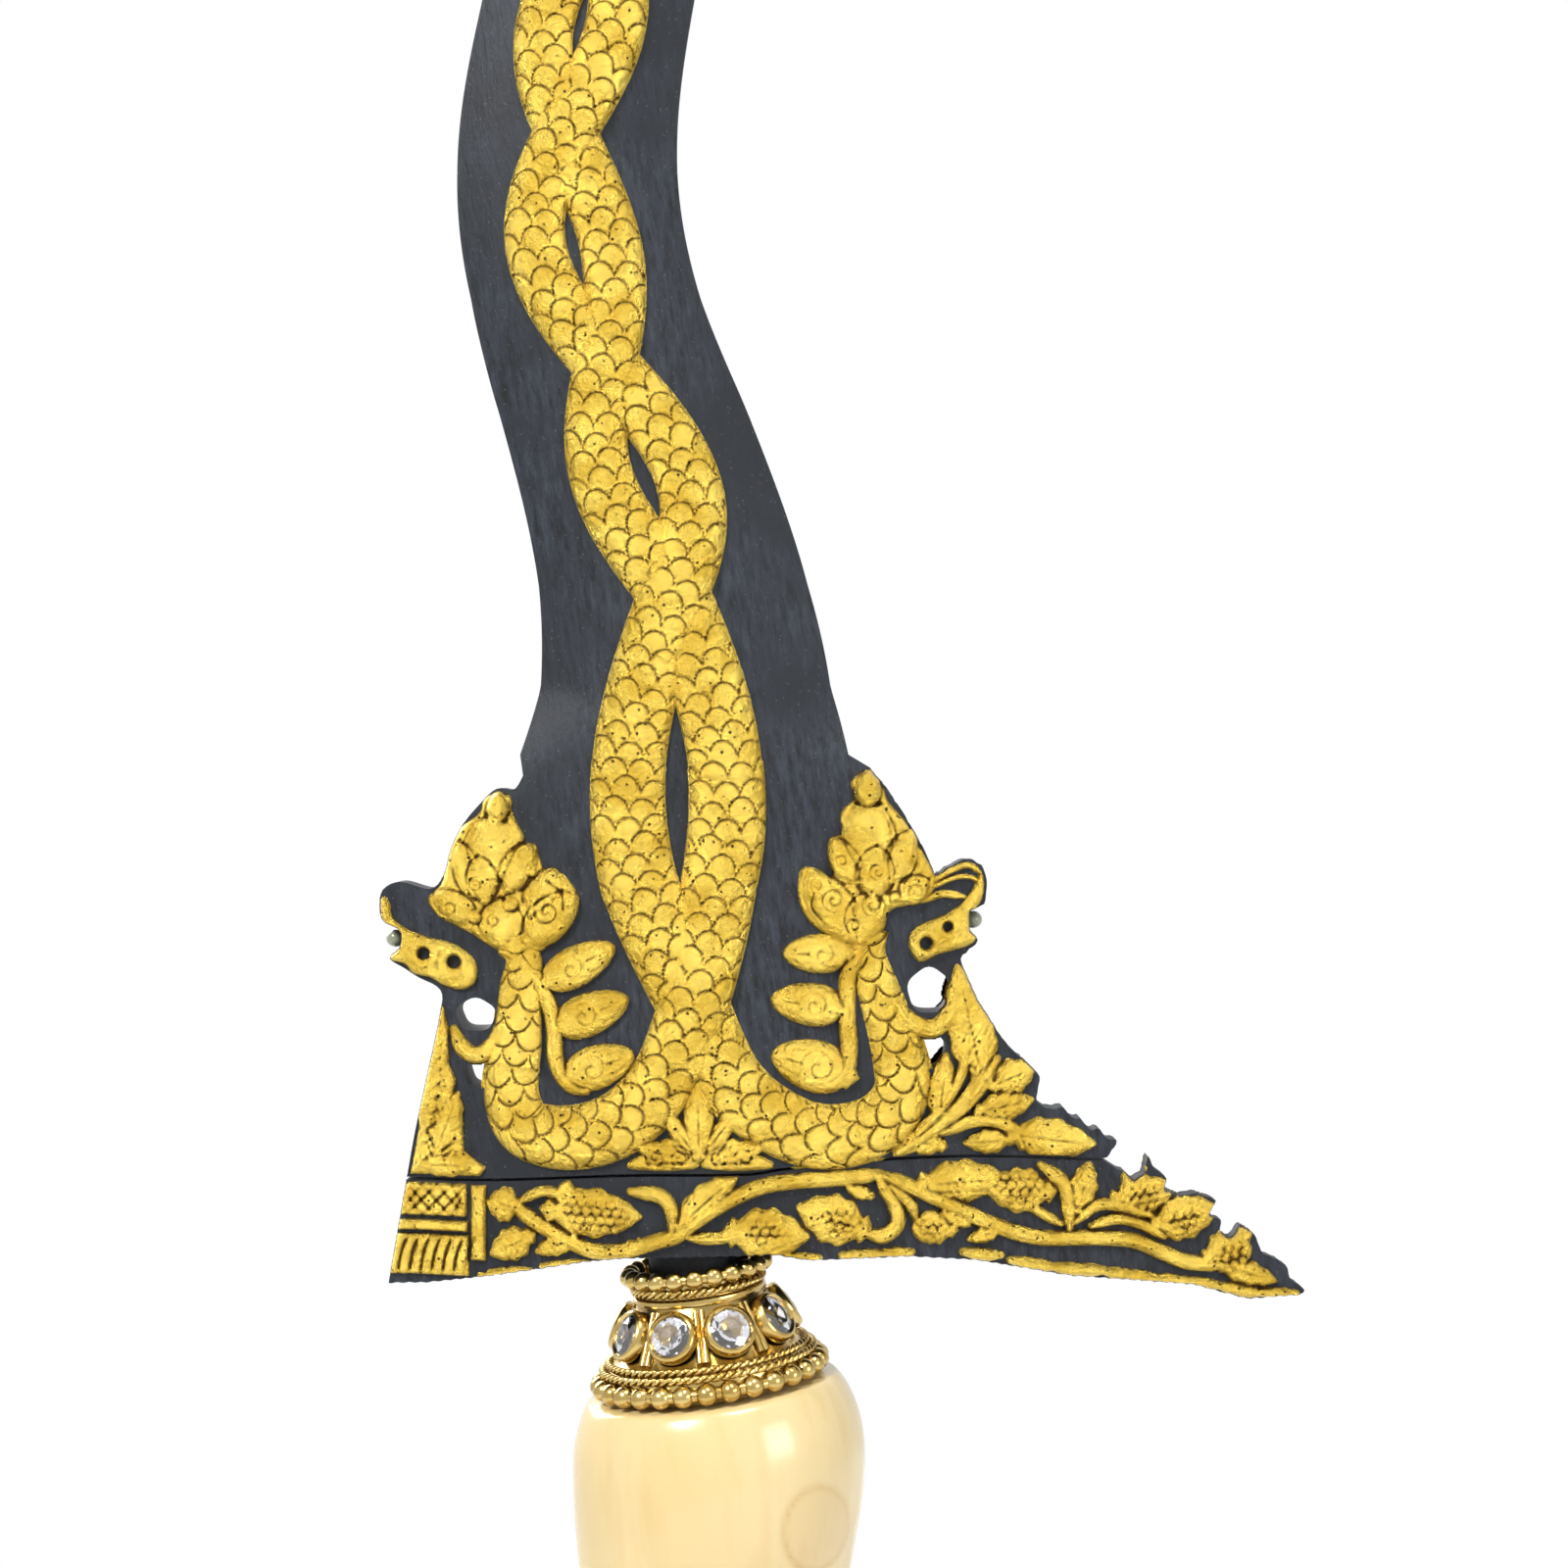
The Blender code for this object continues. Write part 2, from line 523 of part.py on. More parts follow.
def gold_piece(name, outlines, layer, clear_of=(), pits=(), smooth=True):
    """One piece of gold leaf relief: outlines that overlap, joined and cut from the layer."""
    piece = add_part(name, plate_mesh(name, scaled(outlines[0]), CUT_DEPTH, smooth), "gold_leaf", FACE)
    for index, outline in enumerate(outlines[1:]):
        branch_name = name + "_branch_" + str(index + 1)
        branch = plate_mesh(branch_name, scaled(outline), CUT_DEPTH + 0.1 * (index + 1), False)
        combine(piece, add_cutter(branch_name, branch, FACE), "UNION")
    for index, pit in enumerate(pits):
        pit_name = name + "_pit_" + str(index + 1)
        hole = plate_mesh(pit_name, ellipse(*[value * FACE_SCALE for value in pit], count=8), CUT_DEPTH + 2, False)
        combine(piece, add_cutter(pit_name, hole, FACE), "DIFFERENCE")
    for other in clear_of:
        combine(piece, other, "DIFFERENCE")
    combine(piece, layer, "INTERSECT")


def serpent_crossings():
    heights = [height * FACE_SCALE for height in CROSSINGS]
    step = heights[-1] - heights[-2]
    while heights[-1] < BLADE_TIP:
        step *= CROSSING_SHRINK
        heights.append(heights[-1] + max(step, 6.0))
    return heights


def serpent_path(side, lower):
    """Middle line of one serpent from its neck to its tail."""
    heights = serpent_crossings()
    tail = height_at(SERPENT_TAIL)
    path = smooth_path(scaled(lower), 2)[:-1]
    for index in range(SERPENT_STEPS + 1):
        v = mix(heights[0], tail, index / SERPENT_STEPS)
        count = read_table([(height, number) for number, height in enumerate(heights)], v)
        middle = blade_middle(v)
        if v < heights[1]:
            middle = read_table([(height * FACE_SCALE, u * FACE_SCALE) for height, u in SERPENT_MIDDLE], v)
        swing = FIRST_LOOP * FACE_SCALE if count < 1 else LOOP_SHARE * blade_half_width(v)
        path.append(Vector((middle + side * swing * math.sin(math.pi * count), v)))
    return path


def serpent_mesh(name, path, front, lift):
    """A low rounded band along a path, lying on the blade's face."""
    lengths = [0.0]
    for start, end in zip(path, path[1:]):
        lengths.append(lengths[-1] + (end - start).length)

    def build(bm):
        sections = []
        for index, point in enumerate(path):
            ahead = path[min(index + 1, len(path) - 1)] - path[max(index - 1, 0)]
            side = Vector((-ahead.y, ahead.x)).normalized()
            lower = read_table(LOWER_WIDTHS, lengths[index] / FACE_SCALE)
            upper = read_table(UPPER_WIDTHS, share_up(point.y))
            half = min(lower, upper) / 2 * FACE_SCALE if point.y > SHOULDER else lower / 2 * FACE_SCALE
            section = []
            for across, rise in ((-1, 0.0), (0, 0.0), (1, 0.0), (0.6, 1.0), (-0.6, 1.0)):
                u, v = point + side * across * half
                depth = half_thickness(u, v) + SEAT_GAP + lift + rise * SERPENT_RELIEF
                section.append(bm.verts.new((u * MM, front * depth * MM, v * MM)))
            sections.append(section)
        for first, second in zip(sections, sections[1:]):
            for index in range(len(first)):
                after = (index + 1) % len(first)
                bm.faces.new((first[index], first[after], second[after], second[index]))
        bm.faces.new(sections[0])
        bm.faces.new(sections[-1][::-1])

    return finish_mesh(name, build)


def serpent_moat(name, path):
    """What the flat pieces leave free beside a serpent's lower body."""
    low = [point for point in path if point.y < SHOULDER]
    lengths = [0.0]
    for start, end in zip(low, low[1:]):
        lengths.append(lengths[-1] + (end - start).length)
    left, right = [], []
    for index, point in enumerate(low):
        ahead = low[min(index + 1, len(low) - 1)] - low[max(index - 1, 0)]
        half = read_table(LOWER_WIDTHS, lengths[index] / FACE_SCALE) / 2 * FACE_SCALE + SEAT_GAP
        side = Vector((-ahead.y, ahead.x)).normalized() * half
        left.append(tuple(point + side))
        right.append(tuple(point - side))
    return add_cutter(name, plate_mesh(name, left + right[::-1], CUT_DEPTH + 3, False), FACE)


def make_gilding(face_name, front):
    layer = gold_layer(face_name, front)
    moats = [
        serpent_moat("moat_left_" + face_name, serpent_path(1, LEFT_SERPENT)),
        serpent_moat("moat_right_" + face_name, serpent_path(-1, RIGHT_SERPENT)),
    ]
    left = serpent_mesh("serpents_" + face_name, serpent_path(1, LEFT_SERPENT), front, 0.0)
    serpents = add_part("serpents_" + face_name, left, "gold_leaf", FACE)
    right = serpent_mesh("serpent_right_" + face_name, serpent_path(-1, RIGHT_SERPENT), front, 0.18)
    combine(serpents, add_cutter("serpent_right_" + face_name, right, FACE), "UNION")
    left_mane = [stroke(LEFT_MANE, STEM_WIDTH)] + [leaf(*each) for each in LEFT_MANE_LEAVES]
    right_mane = [stroke(RIGHT_MANE, STEM_WIDTH)] + [leaf(*each) for each in RIGHT_MANE_LEAVES]
    vine = [stroke(GANJA_VINE, VINE_WIDTH)] + [leaf(*each) for each in VINE_LEAVES]
    gold_piece("left_crest_" + face_name, [LEFT_CREST], layer, moats)
    gold_piece("right_crest_" + face_name, [RIGHT_CREST], layer, moats)
    gold_piece("left_muzzle_" + face_name, [LEFT_MUZZLE], layer, moats, LEFT_PITS)
    gold_piece("right_muzzle_" + face_name, [RIGHT_MUZZLE], layer, moats, RIGHT_PITS)
    gold_piece("left_mane_" + face_name, left_mane, layer, moats, smooth=False)
    gold_piece("right_mane_" + face_name, right_mane, layer, moats, smooth=False)
    gold_piece("tumpal_" + face_name, [TUMPAL], layer, moats)
    gold_piece("left_panel_" + face_name, [LEFT_PANEL], layer, moats, smooth=False)
    gold_piece("right_flank_" + face_name, [RIGHT_FLANK], layer, moats, smooth=False)
    gold_piece("ganja_tile_" + face_name, [GANJA_TILE], layer, moats, smooth=False)
    gold_piece("ganja_vine_" + face_name, vine, layer, moats, smooth=False)


def make_pearls():
    for name, (u, v) in PEARLS.items():
        def build(bm):
            bmesh.ops.create_uvsphere(bm, u_segments=8, v_segments=6, radius=PEARL * MM)

        pearl = add_part(name, finish_mesh(name, build), "pearl", FACE)
        pearl.location = (u * FACE_SCALE * MM, 0.0, v * FACE_SCALE * MM)


# ---- Ferrule ----------------------------------------------------------------
WRAP_RADIUS = TANG_RADIUS + SEAT_GAP + WRAP_WALL
FERRULE_BORE = max(COLLAR_RADIUS, WRAP_RADIUS) + SEAT_GAP
UPPER_BEAD_HEIGHT = -BEAD_TOP - UPPER_BEAD
CUP_TOP = UPPER_BEAD_HEIGHT - UPPER_BEAD - SEAT_GAP
NECK_RADIUS = UPPER_ROPE_RING - ROPE - SEAT_GAP
UPPER_ROPE_HEIGHT = CUP_TOP - ROPE
LIP_TOP = UPPER_ROPE_HEIGHT - ROPE - SEAT_GAP
BAND_TOP = LIP_TOP - BAND_LIP
BAND_FOOT = BAND_TOP - BAND_HEIGHT


def seated_below(height, ring_radius, thickness, next_ring, next_thickness):
    """Height of a round ring that nests under another, a seat gap from it."""
    apart = thickness + next_thickness + SEAT_GAP
    return height - math.sqrt(max(apart**2 - (next_ring - ring_radius) ** 2, 0.0))


FIRST_ROPE_HEIGHT = BAND_FOOT - 0.1
SECOND_ROPE_HEIGHT = seated_below(FIRST_ROPE_HEIGHT, LOWER_ROPE_RINGS[0], ROPE, LOWER_ROPE_RINGS[1], ROPE)
LOWER_BEAD_HEIGHT = seated_below(SECOND_ROPE_HEIGHT, LOWER_ROPE_RINGS[1], ROPE, LOWER_BEAD_RING, LOWER_BEAD)
HILT_TOP = LOWER_BEAD_HEIGHT - LOWER_BEAD - SEAT_GAP
CUP_FOOT = HILT_TOP + SEAT_GAP


def raised(mesh):
    """Ferrule meshes are drawn from the ganja's underside, so they move up to it."""
    mesh.transform(Matrix.Translation((0.0, 0.0, GRIP_TO_GANJA * MM)))
    return mesh


def bead_radii(count, radius):
    return [radius * (0.6, 1.0)[index % 2] for index in range(2 * count)]


def band_radius(height):
    return mix(BAND_TOP_RADIUS, BAND_FOOT_RADIUS, (BAND_TOP - height) / BAND_HEIGHT)


def make_ferrule_cup():
    upper_inner = LOWER_ROPE_RINGS[0] - ROPE - SEAT_GAP
    foot_radius = LOWER_BEAD_RING - LOWER_BEAD - SEAT_GAP
    profile = (
        (FERRULE_BORE, CUP_FOOT), (FERRULE_BORE, CUP_TOP), (NECK_RADIUS, CUP_TOP), (NECK_RADIUS, LIP_TOP),
        (BAND_TOP_RADIUS + 0.2, LIP_TOP), (BAND_TOP_RADIUS + 0.2, BAND_TOP), (BAND_TOP_RADIUS, BAND_TOP),
        (BAND_FOOT_RADIUS, BAND_FOOT), (upper_inner, BAND_FOOT - 0.2), (foot_radius, CUP_FOOT + 1.0), (foot_radius, CUP_FOOT),
    )
    cup = add_part("ferrule_cup", raised(turned_mesh("ferrule_cup", profile, 28)), "ferrule_gold")
    slope = math.atan2(BAND_FOOT_RADIUS - BAND_TOP_RADIUS, BAND_HEIGHT)
    length = (BAND_HEIGHT - 1.0) / math.cos(slope)
    middle = (BAND_TOP + BAND_FOOT) / 2

    def build(bm):
        for index in range(GEM_COUNT):
            turn = Matrix.Rotation(2 * math.pi * index / GEM_COUNT - math.pi / 2, 4, "Z")
            place = Matrix.Translation((band_radius(middle) * MM, 0.0, middle * MM))
            tilt = Matrix.Rotation(-slope, 4, "Y")
            bmesh.ops.create_cone(
                bm, cap_ends=True, segments=6, radius1=POST_RADIUS * MM, radius2=POST_RADIUS * MM,
                depth=length * MM, matrix=turn @ place @ tilt,
            )

    combine(cup, add_cutter("ferrule_posts", raised(finish_mesh("ferrule_posts", build))), "UNION")


def make_gems():
    slope = math.atan2(BAND_FOOT_RADIUS - BAND_TOP_RADIUS, BAND_HEIGHT)
    middle = (BAND_TOP + BAND_FOOT) / 2
    outer = GEM_RADIUS + 0.15 + COLLET_WALL
    collet = ((outer - COLLET_WALL, COLLET_HEIGHT), (outer, COLLET_HEIGHT), (outer, 0.0), (0.9, 0.0), (0.9, 0.35), (outer - COLLET_WALL, 0.35))
    gem = ((0.05, 0.5), (GEM_RADIUS, 1.05), (GEM_RADIUS * 0.93, 1.2), (GEM_RADIUS * 0.55, 1.65), (0.05, 1.65))
    for index in range(GEM_COUNT):
        turn = Matrix.Rotation(2 * math.pi * (index + 0.5) / GEM_COUNT - math.pi / 2, 4, "Z")
        outwards = Matrix.Rotation(math.pi / 2 - slope, 4, "Y")
        place = turn @ Matrix.Translation((band_radius(middle) * MM, 0.0, middle * MM)) @ outwards
        seat = Matrix.Translation((0.0, 0.0, SEAT_GAP * MM))
        for kind, profile, finish in (("collet", collet[::-1], "ferrule_gold"), ("gem", None, "gem")):
            name = kind + "_" + str(index + 1)
            if profile:
                mesh = turned_mesh(name, profile, 10)
            else:
                mesh = gem_mesh(name, gem)
            mesh.transform(place @ seat)
            add_part(name, raised(mesh), finish)


def gem_mesh(name, profile):
    """A cut stone: a cone below its girdle and a flat table above it."""
    girdle, shoulder, table = profile[1], profile[2], profile[3]

    def build(bm):
        rings = []
        for radius, height in (girdle, shoulder, table):
            turns = [2 * math.pi * step / 12 for step in range(12)]
            rings.append([bm.verts.new((radius * MM * math.cos(t), radius * MM * math.sin(t), height * MM)) for t in turns])
        point = bm.verts.new((0.0, 0.0, profile[0][1] * MM))
        for step in range(12):
            after = (step + 1) % 12
            bm.faces.new((point, rings[0][after], rings[0][step]))
            for lower, upper in zip(rings, rings[1:]):
                bm.faces.new((lower[step], lower[after], upper[after], upper[step]))
        bm.faces.new(rings[-1])

    return finish_mesh(name, build)


def make_ferrule_rings():
    upper = ring_of("upper_bead_ring", UPPER_BEAD_RING, bead_radii(UPPER_BEADS, UPPER_BEAD), UPPER_BEAD_HEIGHT, 1)
    add_part("upper_bead_ring", raised(upper), "ferrule_gold")
    lower = ring_of("lower_bead_ring", LOWER_BEAD_RING, bead_radii(LOWER_BEADS, LOWER_BEAD), LOWER_BEAD_HEIGHT, 1)
    add_part("lower_bead_ring", raised(lower), "ferrule_gold")
    ropes = {
        "upper_rope": (UPPER_ROPE_RING, UPPER_ROPE_HEIGHT),
        "lower_rope_1": (LOWER_ROPE_RINGS[0], FIRST_ROPE_HEIGHT),
        "lower_rope_2": (LOWER_ROPE_RINGS[1], SECOND_ROPE_HEIGHT),
    }
    for name, (radius, height) in ropes.items():
        add_part(name, raised(ring_of(name, radius, [ROPE] * 24, height, 1)), "ferrule_gold")


# ---- Hilt and wrap ----------------------------------------------------------
def make_hilt():
    def build(bm):
        rings = []
        for depth, shift, half_width, half_depth in HILT_SECTIONS:
            ring = []
            for step in range(HILT_SIDES):
                turn = 2 * math.pi * step / HILT_SIDES
                x = shift + half_width * math.cos(turn)
                z = GRIP_TO_GANJA + HILT_TOP - depth
                ring.append(bm.verts.new((x * MM, half_depth * MM * math.sin(turn), z * MM)))
            rings.append(ring)
        for upper, lower in zip(rings, rings[1:]):
            for step in range(HILT_SIDES):
                after = (step + 1) % HILT_SIDES
                bm.faces.new((upper[step], upper[after], lower[after], lower[step]))
        bm.faces.new(rings[0])
        bm.faces.new(rings[-1][::-1])

    hilt = add_part("hilt", finish_mesh("hilt", build), "hilt_bone")
    bottom = GRIP_TO_GANJA - TANG_LENGTH - 2.0
    bore = rod_mesh("hilt_bore", WRAP_RADIUS + SEAT_GAP, bottom, GRIP_TO_GANJA)
    combine(hilt, add_cutter("hilt_bore", bore), "DIFFERENCE")


def make_wrap():
    inner = TANG_RADIUS + SEAT_GAP
    top = GRIP_TO_GANJA - WRAP_DEPTH
    bottom = GRIP_TO_GANJA - TANG_LENGTH
    profile = ((inner, bottom), (inner, top), (WRAP_RADIUS, top), (WRAP_RADIUS, bottom))
    add_part("tang_wrap", turned_mesh("tang_wrap", profile, 24), "wrap_cloth")


make_blade()
make_ganja()
make_gilding("front", -1)
make_gilding("back", 1)
make_pearls()
make_ferrule_cup()
make_gems()
make_ferrule_rings()
make_hilt()
make_wrap()
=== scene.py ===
"""A gilded kris with its ferrule and hilt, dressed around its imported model."""

import math

import bmesh
import bpy
import numpy as np
from mathutils import Matrix, Vector


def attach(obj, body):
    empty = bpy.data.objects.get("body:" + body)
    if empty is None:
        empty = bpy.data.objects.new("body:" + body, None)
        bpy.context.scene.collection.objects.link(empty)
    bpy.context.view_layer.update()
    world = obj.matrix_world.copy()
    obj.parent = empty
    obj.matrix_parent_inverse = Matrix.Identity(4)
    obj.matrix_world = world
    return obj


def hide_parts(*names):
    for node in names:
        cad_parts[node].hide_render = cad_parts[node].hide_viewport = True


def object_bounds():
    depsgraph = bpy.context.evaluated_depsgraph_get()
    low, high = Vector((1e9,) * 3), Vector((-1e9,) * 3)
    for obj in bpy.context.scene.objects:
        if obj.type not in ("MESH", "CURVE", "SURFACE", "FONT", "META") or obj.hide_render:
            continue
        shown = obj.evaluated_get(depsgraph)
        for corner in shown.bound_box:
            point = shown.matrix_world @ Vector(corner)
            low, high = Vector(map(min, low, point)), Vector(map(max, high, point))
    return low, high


bl_info = {
    "name": "Kris maker",
    "version": (1, 0, 0),
    "blender": (4, 5, 0),
    "location": "View3D > Sidebar > Kris",
    "description": "Makes a gilded kris with a jewelled ferrule and a polished hilt",
    "category": "Add Mesh",
}

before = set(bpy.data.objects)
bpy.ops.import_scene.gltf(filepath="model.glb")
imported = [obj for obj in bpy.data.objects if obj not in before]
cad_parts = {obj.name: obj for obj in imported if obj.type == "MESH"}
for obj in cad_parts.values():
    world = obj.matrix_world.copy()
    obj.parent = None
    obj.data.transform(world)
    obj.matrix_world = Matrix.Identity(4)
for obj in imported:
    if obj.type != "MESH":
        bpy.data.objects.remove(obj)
CAD_BOX = [list(corner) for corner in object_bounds()]
MM = 0.001

# ---- Sizes shared with the model, in millimetres ----------------------------
GRIP_TO_GANJA = 58.0
LEAN = math.radians(7.5)
TANG_CROSSING = (-0.6, 0.85)
SHOULDER = 49.3
BLADE_TIP = 350.0
WAVE_SIZE = 4.05
AXIS_DRIFT = -0.084
CENTRE_HALF, TIP_HALF, HEAD_HALF, EDGE_HALF, GANJA_TIP_HALF = 6.5, 0.9, 2.2, 0.4, 1.0
RIDGE_REACH = 28.0
FIRST_WAVE, WAVE_LENGTH, WAVE_SHRINK = 0.1187, 0.1397, 0.93
BLADE_WIDTHS = (
    (0.0, 16.8), (0.026, 14.7), (0.06, 13.65), (0.125, 12.5), (0.157, 11.65), (0.2, 11.15), (0.255, 10.75),
    (0.37, 10.25), (0.5, 9.5), (0.635, 8.65), (0.77, 7.65), (0.88, 6.25), (0.945, 4.3), (0.985, 1.7), (1.0, 0.25),
)
JOINT_GAP = 0.3
JOINT_LINE = ((-29.4, 7.5), (-20.8, 7.6), (-7.1, 8.3), (4.7, 8.4), (8.6, 8.9), (19.2, 9.7), (30.7, 9.7), (41.0, 9.3))
LEFT_SIDE = (
    (-29.4, 7.5), (-28.6, 12.0), (-27.4, 17.5), (-26.0, 24.0), (-25.9, 26.6), (-28.2, 27.9),
    (-29.6, 28.8), (-31.1, 29.8), (-30.1, 30.9), (-30.1, 32.6), (-31.8, 33.6), (-32.1, 35.4), (-31.7, 36.8),
    (-30.0, 37.5), (-27.0, 36.8), (-25.6, 38.2), (-24.9, 40.7), (-23.7, 43.2), (-21.9, 45.4), (-20.2, 46.9),
    (-18.5, 46.8), (-17.6, 48.2),
)
RIGHT_SIDE = (
    (41.0, 9.3), (42.4, 11.4), (40.9, 11.6), (40.6, 12.6), (39.4, 12.4), (38.6, 13.7), (37.5, 13.6), (36.9, 14.8),
    (35.4, 14.5), (34.0, 15.3), (34.5, 18.0), (31.9, 20.3),
    (30.7, 21.6), (28.1, 25.6), (26.3, 29.8), (28.3, 31.6), (27.3, 32.5), (27.3, 34.6), (28.9, 35.2),
    (29.1, 37.6), (28.6, 39.2), (27.2, 39.9), (25.2, 39.0), (23.9, 38.0), (22.7, 40.8), (20.7, 44.3),
    (18.9, 47.0), (17.3, 49.0),
)
FLANK_HOLES = ((-22.3, 24.2, 2.0, 1.65), (-21.9, 18.4, 1.5, 1.6), (23.2, 26.6, 2.15, 2.3), (23.5, 20.5, 1.45, 1.8))
GANJA_FOOT = (
    (42.4, 8.4), (43.1, 8.1), (43.9, 7.3), (45.0, 7.9), (45.4, 9.9), (46.0, 8.5), (47.3, 7.6), (47.0, 6.3), (48.7, 5.7),
    (50.1, 6.0), (52.4, 5.3), (51.5, 3.7), (52.9, 3.3), (52.6, 2.0), (53.9, 1.4), (54.8, 2.8), (56.3, 1.7), (57.0, -0.2),
    (58.3, -0.6), (59.6, -1.5), (59.7, -2.6), (61.4, -3.8), (61.0, -4.3), (55.5, -4.7), (50.0, -3.2), (37.4, -2.2),
    (28.2, -0.6), (21.0, 0.1), (11.0, 0.0), (7.8, 0.6), (-7.1, 0.3), (-11.0, -0.1), (-20.8, -1.8), (-27.6, -2.8),
    (-31.2, -2.9),
)

# ---- The gilded drawings, in the face frame ---------------------------------
LEFT_SERPENT = ((-18.6, 32.0), (-17.4, 29.7), (-17.8, 26.8), (-18.0, 21.9), (-18.6, 16.4), (-16.9, 12.9), (-12.0, 12.2), (-7.1, 14.0), (-3.1, 18.4), (-0.4, 25.2))
RIGHT_SERPENT = ((17.6, 33.0), (17.0, 30.2), (18.4, 25.8), (19.9, 20.9), (20.4, 16.4), (17.5, 13.1), (12.5, 12.2), (7.6, 14.0), (3.2, 17.9), (-0.4, 25.2))
SERPENT_MIDDLE = ((25.2, -0.4), (37.4, -1.9), (55.4, -2.2), (66.6, -2.4))
CROSSINGS = (25.2, 66.6, 89.5, 112.8)
CROSSING_SHRINK = 0.955
SERPENT_TAIL = 0.915
FIRST_LOOP, LOOP_SHARE = 5.0, 0.33
LOWER_WIDTHS = ((0.0, 3.2), (6.0, 4.2), (14.0, 5.4), (24.0, 6.4), (40.0, 6.8), (60.0, 7.8), (90.0, 7.0), (110.0, 6.4))
UPPER_WIDTHS = ((0.04, 7.4), (0.1, 6.4), (0.5, 5.4), (0.8, 3.8), (0.92, 1.4))

LEFT_CREST = (
    (-20.2, 46.6), (-18.8, 46.0), (-18.6, 44.4), (-17.5, 42.2), (-17.5, 41.1), (-16.3, 41.3), (-15.4, 38.9),
    (-13.7, 38.5), (-12.1, 36.5), (-12.1, 34.5), (-13.6, 32.2), (-16.2, 30.4), (-19.4, 30.4), (-22.9, 32.4),
    (-26.0, 34.0), (-27.2, 35.8), (-25.8, 37.4), (-25.1, 40.2), (-24.0, 42.8), (-22.0, 44.4), (-21.5, 45.8),
)
RIGHT_CREST = (
    (17.0, 48.8), (18.5, 47.2), (19.1, 45.6), (20.8, 43.6), (22.3, 41.0), (23.9, 37.6), (22.4, 35.4),
    (19.6, 34.8), (18.3, 33.0), (17.4, 31.0), (14.9, 31.4), (12.0, 32.8), (10.2, 35.4), (10.3, 38.8),
    (12.2, 38.8), (13.4, 38.2), (13.4, 41.8), (14.3, 42.4), (14.4, 44.6), (15.6, 45.8), (15.4, 47.6),
)
LEFT_MUZZLE = (
    (-31.9, 36.0), (-31.1, 35.4), (-30.7, 33.8), (-29.2, 32.7), (-27.0, 31.9), (-24.8, 31.4), (-22.8, 30.2), (-22.1, 28.6),
    (-22.6, 27.2), (-24.0, 26.7), (-25.7, 27.2), (-27.0, 27.9), (-28.7, 28.3), (-29.5, 29.2), (-31.1, 29.8), (-31.4, 31.4), (-31.9, 33.6),
)
RIGHT_MUZZLE = (
    (21.1, 31.8), (21.9, 33.0), (24.0, 33.9), (25.8, 34.8), (27.2, 36.2), (28.0, 37.6), (28.5, 38.5), (28.8, 37.2),
    (28.5, 35.6), (27.8, 34.7), (27.3, 33.6), (28.0, 31.9), (27.0, 31.0), (24.4, 30.3), (22.4, 29.5), (21.4, 30.4),
)
LEFT_PITS = ((-27.6, 30.3, 0.75), (-24.5, 29.5, 0.8))
RIGHT_PITS = ((25.1, 33.0, 0.6), (22.9, 31.35, 0.75))
PEARLS = {"pearl_left": (-30.8, 31.7), "pearl_right": (27.8, 33.6)}
# Swellings of the crowns, from the lowest: root, tip, width, height.
LEFT_CREST_MOUNDS = (
    ((-20.9, 37.4), (-20.5, 44.4), 5.7, 1.65), ((-20.2, 43.4), (-20.0, 46.6), 2.4, 1.7), ((-22.4, 36.2), (-24.0, 41.6), 2.8, 1.3),
    ((-19.0, 36.8), (-16.7, 41.4), 3.4, 1.5), ((-21.2, 35.6), (-22.0, 40.2), 3.2, 1.6), ((-16.6, 34.6), (-14.2, 38.9), 3.6, 1.35),
    ((-17.0, 31.6), (-12.1, 36.4), 4.2, 1.4), ((-22.4, 33.8), (-26.6, 36.4), 3.0, 1.3), ((-19.6, 31.4), (-19.8, 36.0), 4.4, 1.3),
)
RIGHT_CREST_MOUNDS = (
    ((17.2, 38.6), (16.9, 46.0), 5.5, 1.65), ((17.0, 45.0), (17.1, 48.8), 2.8, 1.7), ((19.4, 37.6), (21.5, 42.8), 3.2, 1.35),
    ((15.8, 37.4), (13.4, 42.0), 3.0, 1.35), ((20.4, 35.8), (23.2, 37.8), 3.0, 1.3), ((17.6, 36.0), (17.9, 41.2), 3.8, 1.6),
    ((15.4, 32.2), (10.9, 38.6), 4.4, 1.4), ((16.4, 31.8), (17.4, 36.6), 4.2, 1.3),
)
LEFT_CREST_CURLS = (
    (-25.0, 34.9, 1.1), (-22.2, 34.0, 0.9), (-20.4, 33.7, 0.7), (-18.6, 35.4, 1.1), (-15.0, 34.6, 1.5), (-17.2, 31.9, 0.8),
    (-16.5, 38.6, 0.8), (-22.2, 37.3, 0.8),
)
RIGHT_CREST_CURLS = (
    (21.9, 36.5, 0.9), (19.8, 36.0, 0.8), (17.5, 35.3, 1.2), (13.6, 35.8, 1.3), (15.6, 33.2, 0.8), (18.0, 38.6, 0.9),
    (11.9, 37.2, 0.8), (14.4, 39.6, 0.7),
)
LEFT_CREST_LINES = (
    ((-21.2, 44.4), (-19.9, 44.0), (-18.9, 44.4)),
    ((-14.9, 37.6), (-13.6, 36.4), (-13.4, 34.8)),
)
RIGHT_CREST_LINES = (
    ((15.7, 45.6), (17.0, 45.0), (18.6, 45.5)),
    ((11.6, 36.4), (11.4, 35.0), (12.4, 33.8)),
)
LEFT_PANEL = (
    (-25.7, 25.1), (-25.1, 22.9), (-25.0, 19.3), (-24.3, 17.7), (-24.6, 15.5), (-23.7, 15.3), (-23.4, 10.6),
    (-21.2, 9.0), (-21.8, 8.1), (-29.0, 8.1), (-28.0, 13.4), (-26.7, 19.6), (-26.1, 23.2),
)
